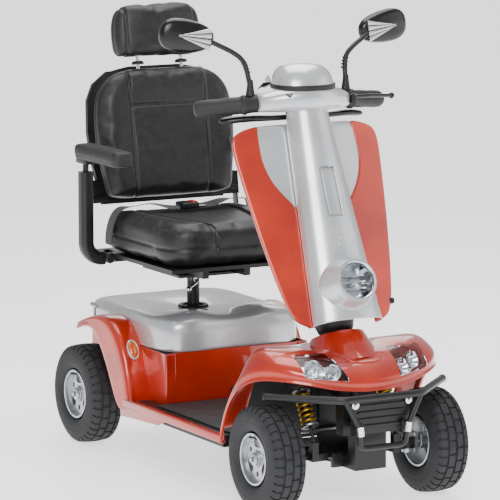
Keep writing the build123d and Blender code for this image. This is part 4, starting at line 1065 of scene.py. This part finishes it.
def make_grips():
    for place, side in SIDES:
        profile = [(-16, 14), (-16, 23.5), (-12, 25), (34, 25), (38, 27), (42, 28.5), (47, 28.5),
                   (52, 25.5), (58, 24.5), (90, 25.5), (120, 24.2), (150, 25.2), (176, 24), (183, 21),
                   (187, 13), (187.5, 0)]
        grip = lathe(profile, GRIP_START, GRIP_WAY, 64)
        if side < 0:
            right = other_side(grip)
            bpy.data.objects.remove(grip)
            grip = right
        settle(grip, f"grip_sleeve_{place}", GRIP, "tiller", for_pair(side, "grips"), angle=30)
    from_cad("tiller_tube", BLACK_STEEL, 0.001)
    from_cad("tiller_back", BLACK_PLASTIC, 0.003)
    for place, side in SIDES:
        rows = [[(side * x * MM, (y + a * deep) * MM, (z + b * thick) * MM) for a, b in oval(16, 0.8)]
                for x, y, z, deep, thick in THROTTLE_BAR]
        paddle = skin(rows, wrap=True, levels=2)
        cap_ends(paddle)
        settle(paddle, f"throttle_paddle_{place}", GLOSS_BLACK, "throttle",
               for_pair(side, "throttle_lever"), angle=40)
    from_cad("brake_lever", GLOSS_BLACK, 0.001)
    from_cad("speed_dial", BLACK_PLASTIC, 0.001)
    from_cad("ignition_key", STEEL, 0.0006)


def make_mirrors():
    for place, side in SIDES:
        body = f"mirror_{place}_unit"
        stem = [Vector((side * x, y, z)) * MM for x, y, z in MIRROR_STEM]
        rise = stem[2] - stem[1]
        arm = pipe(stem, 0.0072, sides=6)
        boot = lathe([(0, 12), (3, 13), (6, 12.5), (30, 9), (44, 8)],
                     Vector((side * 156, -227.3, 1127.6)) * MM, (0, 0, 1), 40)
        rings = [lathe([(-1.4, 7), (-1.2, 9.6), (1.2, 9.6), (1.4, 7)], stem[1] + rise * share, rise, 32)
                 for share in (-0.3, 0.0, 0.3, 0.6)]
        settle(join([arm, boot] + rings), f"mirror_stem_{place}", BLACK_PLASTIC, body)
        across = Vector((0.99 * side, 0.10, 0.14)).normalized()
        back = Vector((0, -1, 0.0))
        back = (back - across * back.dot(across)).normalized()
        high = across.cross(back) if side > 0 else back.cross(across)
        high = high if high.z > 0 else -high
        middle = Vector((side * 321, -160, 1297)) * MM

        def at(u, v, n):
            return middle + (across * u + high * v + back * n) * MM

        def ring(share, n):
            """The head's outline at depth n and a share of its size, taller towards its outer end."""
            return [at(MIRROR_HALF_WIDTH * share * a, MIRROR_HALF_HEIGHT * share * b * (1 + 0.16 * share * a),
                       n) for a, b in oval(28, 0.8)]

        head = skin([ring(*level) for level in ((0.93, -13), (0.985, -14), (1.0, -11), (1.0, 0), (0.93, 9),
                                                (0.70, 15), (0.36, 18), (0.03, 19))], wrap=True, levels=2)
        cap_ends(head)
        settle(head, f"mirror_head_{place}", GLOSS_BLACK, body, [f"mirror_{place}"], angle=40)
        glass = skin([ring(*level) for level in ((0.91, -12), (0.91, -14.6), (0.86, -15), (0.02, -15))],
                     wrap=True, levels=1)
        cap_ends(glass)
        settle(glass, f"mirror_glass_{place}", GLASS, body, angle=40)
        for rib in range(4):
            low, high_v = -33 + rib * 16.5, -18.5 + rib * 16.5
            near, far = -66, 40 - 14 * abs(rib - 1.5)
            rows = []
            for v, n in ((low, 12), (low + 2, 18), (high_v - 2, 18.5), (high_v, 12)):
                rows.append([at(near + (far - near) * share, v * (1 - 0.8 * share),
                                n + 3.5 * sin(pi * (0.2 + 0.6 * share)))
                             for share in (0, 0.08, 0.35, 0.65, 0.92, 1)])
            ridge = skin(rows, levels=2)
            cap_ends(ridge)
            settle(ridge, f"mirror_trim_{place}_{rib + 1}", SILVER, body, angle=40)


# ------------------------------------------------------------------ seat
def stuff(piece, cap, voxel=0.006, pressure=4.0, calm=4):
    """Fills a pad: the cover is remeshed and blown up as cloth, no point going further than cap."""
    apply(piece, "REMESH", mode="VOXEL", voxel_size=voxel)
    start = [vertex.co.copy() for vertex in piece.data.vertices]
    take(piece)
    cloth = piece.modifiers.new("stuffing", "CLOTH")
    cloth.settings.use_pressure = True
    cloth.settings.uniform_pressure_force = pressure
    cloth.settings.effector_weights.gravity = 0
    for step in range(1, 21):
        bpy.context.scene.frame_set(step)
    bpy.ops.object.modifier_apply(modifier=cloth.name)
    bpy.context.scene.frame_set(1)
    for vertex, before in zip(piece.data.vertices, start):
        move = vertex.co - before
        if move.length > cap:
            vertex.co = before + move.normalized() * cap
    apply(piece, "SMOOTH", factor=0.5, iterations=calm)
    apply(piece, "SUBSURF", levels=1, render_levels=1)


def dent(piece, depth_at):
    """Presses the cover in along its own normals by depth_at(point, normal) metres."""
    moves = [(vertex, depth_at(vertex.co, vertex.normal)) for vertex in piece.data.vertices]
    shifts = [(vertex, vertex.normal * depth) for vertex, depth in moves if abs(depth) > 1e-6]
    for vertex, shift in shifts:
        vertex.co -= shift


def groove(distance, depth_mm, width_mm):
    return depth_mm * MM * 2.718 ** (-(distance / (width_mm * MM)) ** 2)


def panel_half(y):
    """Half width of the seat's centre panel: its seams draw in towards the front edge."""
    return 0.070 + 0.075 * min(max((y - 0.10) / 0.30, 0), 1) ** 0.8


def make_seat_cushion():
    pad = slab((-0.238, 0.106, 0.596), (0.238, 0.564, 0.698))
    for test, radius in ((lambda c, d: abs(d.z) > 0.9 and c.y < 0.2, 0.095),
                         (lambda c, d: abs(d.z) > 0.9 and c.y > 0.5, 0.035)):
        pick(pad, test, "EDGE")
        bpy.ops.mesh.bevel(offset=radius, segments=8, affect="EDGES")
        out_of_edit()
    apply(pad, "BEVEL", width=0.026, segments=4, limit_method="ANGLE", angle_limit=radians(60))
    stuff(pad, 0.012)

    def shape(point, normal):
        x, y, z = point
        top = max(0, normal.z)
        seam = abs(abs(x) - panel_half(y))
        front = max(0, -normal.y)
        press = groove(seam, 5, 5) * max(top, front) * (1 if z > 0.63 else 0)
        press += groove(abs(z - 0.640), 4, 5) * (1 - abs(normal.z)) ** 2
        bolster = max(0, (abs(x) - panel_half(y)) / 0.11)
        press -= 0.006 * sin(min(bolster, 1) * pi) * top * min(1, max(0, (0.5 - y) / 0.1))
        press += 0.007 * max(0, 1 - (x / 0.15) ** 2) * max(0, 1 - ((y - 0.38) / 0.18) ** 2) * top
        return press

    dent(pad, shape)
    settle(pad, "seat_pad", HIDE, "seat", ["seat_cushion"], angle=0)
    on_pad = pad.closest_point_on_mesh
    for place, side in SIDES:
        cord = []
        for step in range(26):
            y = 0.110 + step * 0.0125
            hit = on_pad(Vector((side * panel_half(y), y, 0.73)))
            cord.append(hit[1] + hit[2] * 0.0008)
        front = [on_pad(Vector((side * 0.070, 0.07, z)))[1] for z in (0.650, 0.664, 0.678)]
        settle(pipe(front + cord, 0.0022, sides=3), f"seat_piping_{place}", HIDE, "seat")
    clear_selection()


# up the seat back and half its width there, in millimetres
BACK_EDGE = ((-34, 212), (0, 219), (50, 228), (100, 236), (150, 242), (190, 243), (240, 242), (290, 236),
             (320, 222), (342, 203), (360, 180), (374, 150), (384, 90))
# up the seat back, half the headrest's width and the share of its depth there
HEADREST_EDGE = ((409, 128, 0.55), (414, 143, 0.8), (430, 149, 0.95), (470, 152, 1), (520, 149, 1),
                 (550, 138, 0.93), (566, 118, 0.75), (573, 90, 0.5))


def make_back_cushion():
    rows = [[on_back((half + 1) * a, max(up, -30), -40 + 33 * b) for a, b in oval(32, 0.3, 0.5)]
            for up, half in BACK_EDGE]
    pad = skin(rows, wrap=True, levels=0)
    cap_ends(pad)
    apply(pad, "SUBSURF", levels=1, render_levels=1)
    stuff(pad, 0.010, calm=9)

    def shape(point, normal):
        local = point - BACK_AT
        x, up, out = local.x, local.dot(BACK_UP), local.dot(BACK_OUT)
        front = max(0, normal.dot(BACK_OUT))
        seam = 0.128 + 0.012 * (up - 0.26)
        press = groove(abs(abs(x) - seam), 6, 5) * front
        inside = 1 if abs(x) < seam else 0
        press += groove(abs(up - 0.262), 6, 6) * front * inside
        press -= 0.006 * groove(abs(up - 0.318), 1000, 34) * front * inside
        press -= 0.005 * groove(abs(up - 0.10), 1000, 70) * front * inside
        press -= 0.004 * groove(abs(abs(x) - 0.190), 1000, 34) * front
        press += groove(abs(out + 0.040), 4, 5) * (1 - abs(normal.dot(BACK_OUT))) ** 2
        return press

    dent(pad, shape)
    rows = [[on_back((half - 2) * a, max(up, -30), -88 + 14 * b) for a, b in oval(32, 0.35)]
            for up, half in BACK_EDGE]
    shell = skin(rows, wrap=True, levels=2)
    cap_ends(shell)
    bar = [on_back(x, up, -84) for x, up in ((-258, -8), (-200, 12), (200, 12), (258, -8))]
    brace = pipe(bar, 0.011, sides=6)
    settle(shell, "back_casing", BLACK_PLASTIC, "backrest", ["back_shell"], angle=40)
    settle(brace, "back_brace", BLACK_STEEL, "backrest")
    for place, side in SIDES:
        ear = prism(((598, 660), (624, 652), (644, 770), (622, 782)),
                    lambda y, z, depth: (side * (256 + 5 * depth), y - 2, z))
        apply(ear, "BEVEL", width=0.002, segments=3, limit_method="ANGLE")
        settle(ear, f"back_bracket_{place}", BLACK_STEEL, "backrest")
    settle(pad, "back_pad", HIDE, "backrest", ["back_cushion"], angle=0)


def make_headrest():
    rows = [[on_back(half * a, up, -40 + 41 * grow * b - 10 * (half * a / 150) ** 2)
             for a, b in oval(28, 0.45, 0.6)] for up, half, grow in HEADREST_EDGE]
    pad = skin(rows, wrap=True, levels=0)
    cap_ends(pad)
    apply(pad, "SUBSURF", levels=1, render_levels=1)
    stuff(pad, 0.007, calm=9)

    def shape(point, normal):
        local = point - BACK_AT
        x, up, out = local.x, local.dot(BACK_UP), local.dot(BACK_OUT)
        front = max(0, normal.dot(BACK_OUT))
        press = groove(abs(abs(x) - 0.118), 4, 5) * (1 - abs(normal.x) ** 2)
        press += groove(abs(out + 0.045), 3, 5) * (1 - abs(normal.dot(BACK_OUT))) ** 2
        return press + 0.003 * groove(abs(up - 0.49), 1000, 40) * front

    dent(pad, shape)
    settle(pad, "headrest_pad", HIDE, "head_support", ["headrest"], angle=0)
    for place, side in SIDES:
        post = pipe([on_back(side * 74, up, -40) for up in (300, 340, 380, 425)], 0.006, sides=6)
        settle(post, f"headrest_post_{place}", CHROME, "head_support")
        bezel = lathe([(-2, 8), (-2, 19), (3, 19), (7, 16), (9, 9), (9, 6.6)], on_back(side * 74, 389, -40),
                      BACK_UP, 40)
        settle(bezel, f"post_bezel_{place}", BLACK_PLASTIC, "backrest")


def make_arms():
    for place, side in SIDES:
        from_cad(f"arm_frame_{place}", BLACK_STEEL, 0.002)
        pad = slab((side * 0.264, 0.277, 0.872), (side * 0.332, 0.555, 0.918))
        pick(pad, lambda c, d: abs(d.z) > 0.9 and c.y < 0.3, "EDGE")
        bpy.ops.mesh.bevel(offset=0.022, segments=6, affect="EDGES")
        out_of_edit()
        apply(pad, "BEVEL", width=0.012, segments=4, limit_method="ANGLE", angle_limit=radians(60))
        stuff(pad, 0.005, voxel=0.005)
        dent(pad, lambda point, normal: groove(abs(point.z - 0.884), 2.5, 4) * (1 - abs(normal.z)) ** 2)
        cut(pad, slab((side * 0.2845, 0.505, 0.850), (side * 0.3095, 0.580, 0.9005)))
        settle(pad, f"armrest_pad_{place}", PAD, f"armrest_{place}", [f"arm_pad_{place}"], angle=0)
        cheek = rounded((side * (0.297 - 0.019), 0.505, 0.856), (side * (0.297 + 0.019), 0.572, 0.892),
                        0.006, 3)
        settle(cheek, f"armrest_hinge_{place}", BLACK_PLASTIC, f"armrest_{place}")
        knob = lathe([(0, 9), (6, 9), (8, 15), (16, 15), (19, 12), (19, 0)], (side * 0.232, 0.523, 0.567),
                     (0, -1, 0), 12)
        settle(knob, f"arm_width_knob_{place}", BLACK_PLASTIC, "seat")


# the left strap's middle line, from the buckle over the cushion's edge, in millimetres
BELT_ROUTE = ((33, 440, 722), (70, 442, 719), (108, 436, 733), (146, 448, 736), (180, 452, 728),
              (208, 462, 730), (226, 474, 718), (238, 486, 690), (243, 496, 650), (243, 500, 610))


def make_belt():
    for place, side in SIDES:
        rows = []
        for index, (x, y, z) in enumerate(BELT_ROUTE):
            twist = 0.25 * sin(index * 1.3) if 0 < index < 6 else 0
            rows.append([Vector((side * x, y + v * cos(twist), z + v * sin(twist))) * MM
                         for v in (-23, -12, 0, 12, 23)])
        strap = skin(rows, levels=2, thick=0.0014, offset=0)
        settle(strap, f"belt_strap_{place}", WEB, "seat", for_pair(side, "lap_belt"), angle=50)
    case = rounded((-0.034, 0.413, 0.714), (0.024, 0.467, 0.734), 0.006, 4)
    settle(case, "belt_buckle", BLACK_PLASTIC, "seat")
    button = rounded((0.004, 0.424, 0.722), (0.022, 0.456, 0.7365), 0.003, 3)
    settle(button, "buckle_button", RED_PLASTIC, "seat")
    tongue = rounded((0.020, 0.419, 0.720), (0.046, 0.461, 0.7235), 0.0015, 3)
    settle(tongue, "buckle_tongue", CHROME, "seat")


# ------------------------------------------------------------------ the rest of the machine
def make_machine():
    for node, material, bevel, *slot in (
            ("chassis_frame", BLACK_STEEL, 0.001), ("batteries", CASE_GREY, 0.003),
            ("controller", CAST, 0.001, "controller_alloy"), ("seat_socket", BLACK_STEEL, 0.001),
            ("rear_axle", BLACK_STEEL, 0.001), ("drive_motor", CAST, 0.001, "motor_alloy"),
            ("suspension_arm_left", BLACK_STEEL, 0.001), ("suspension_arm_right", BLACK_STEEL, 0.001),
            ("knuckle_left", CAST, 0.001, "bare_steel"), ("knuckle_right", CAST, 0.001, "bare_steel"),
            ("steering_stem", STEEL, 0.001), ("tie_rod", STEEL, 0.001), ("seat_post", BLACK_STEEL, 0.001),
            ("seat_swivel", BLACK_STEEL, 0.001), ("seat_pan", BLACK_STEEL, 0.001),
            ("back_shell", BLACK_PLASTIC, 0.002), ("swivel_lever", CHROME, 0.0004),
            ("freewheel_lever", STEEL, 0.0006)):
        from_cad(node, material, bevel, *slot)


# ------------------------------------------------------------------ studio
def make_studio():
    clear_selection()
    bpy.ops.mesh.primitive_plane_add(size=120, location=(0, 0, 0))
    floor = bpy.context.object
    floor.name = "studio_floor"
    floor.data.materials.append(floor_paint())
    world = bpy.data.worlds.new("studio_light")
    world.use_nodes = True
    world.node_tree.nodes["Background"].inputs["Color"].default_value = colour("#FFFFFF")
    world.node_tree.nodes["Background"].inputs["Strength"].default_value = 0.6
    bpy.context.scene.world = world
    middle = Vector((0, 0, 0.6))
    for name, place, width, watts in (("key", (-2.2, -3.6, 3.2), 2.2, 150),
                                      ("fill", (3.8, -2.4, 2.2), 3.0, 30),
                                      ("top", (0.4, 0.6, 3.8), 2.6, 110),
                                      ("rim", (2.0, 3.4, 2.6), 2.0, 25)):
        bpy.ops.object.light_add(type="AREA", location=place)
        light = bpy.context.object
        light.name = name + "_light"
        light.data.size = width
        light.data.energy = watts
        light.rotation_euler = (Vector(place) - middle).to_track_quat("Z", "Y").to_euler()


make_camera()
make_studio()
make_wheels()
make_cowl()
make_bumper()
make_springs()
make_floor()
make_fenders()
make_rear_body()
make_cover()
make_shield()
make_spine()
make_headlamp()
make_console()
make_grips()
make_mirrors()
make_seat_cushion()
make_back_cushion()
make_headrest()
make_arms()
make_belt()
make_machine()
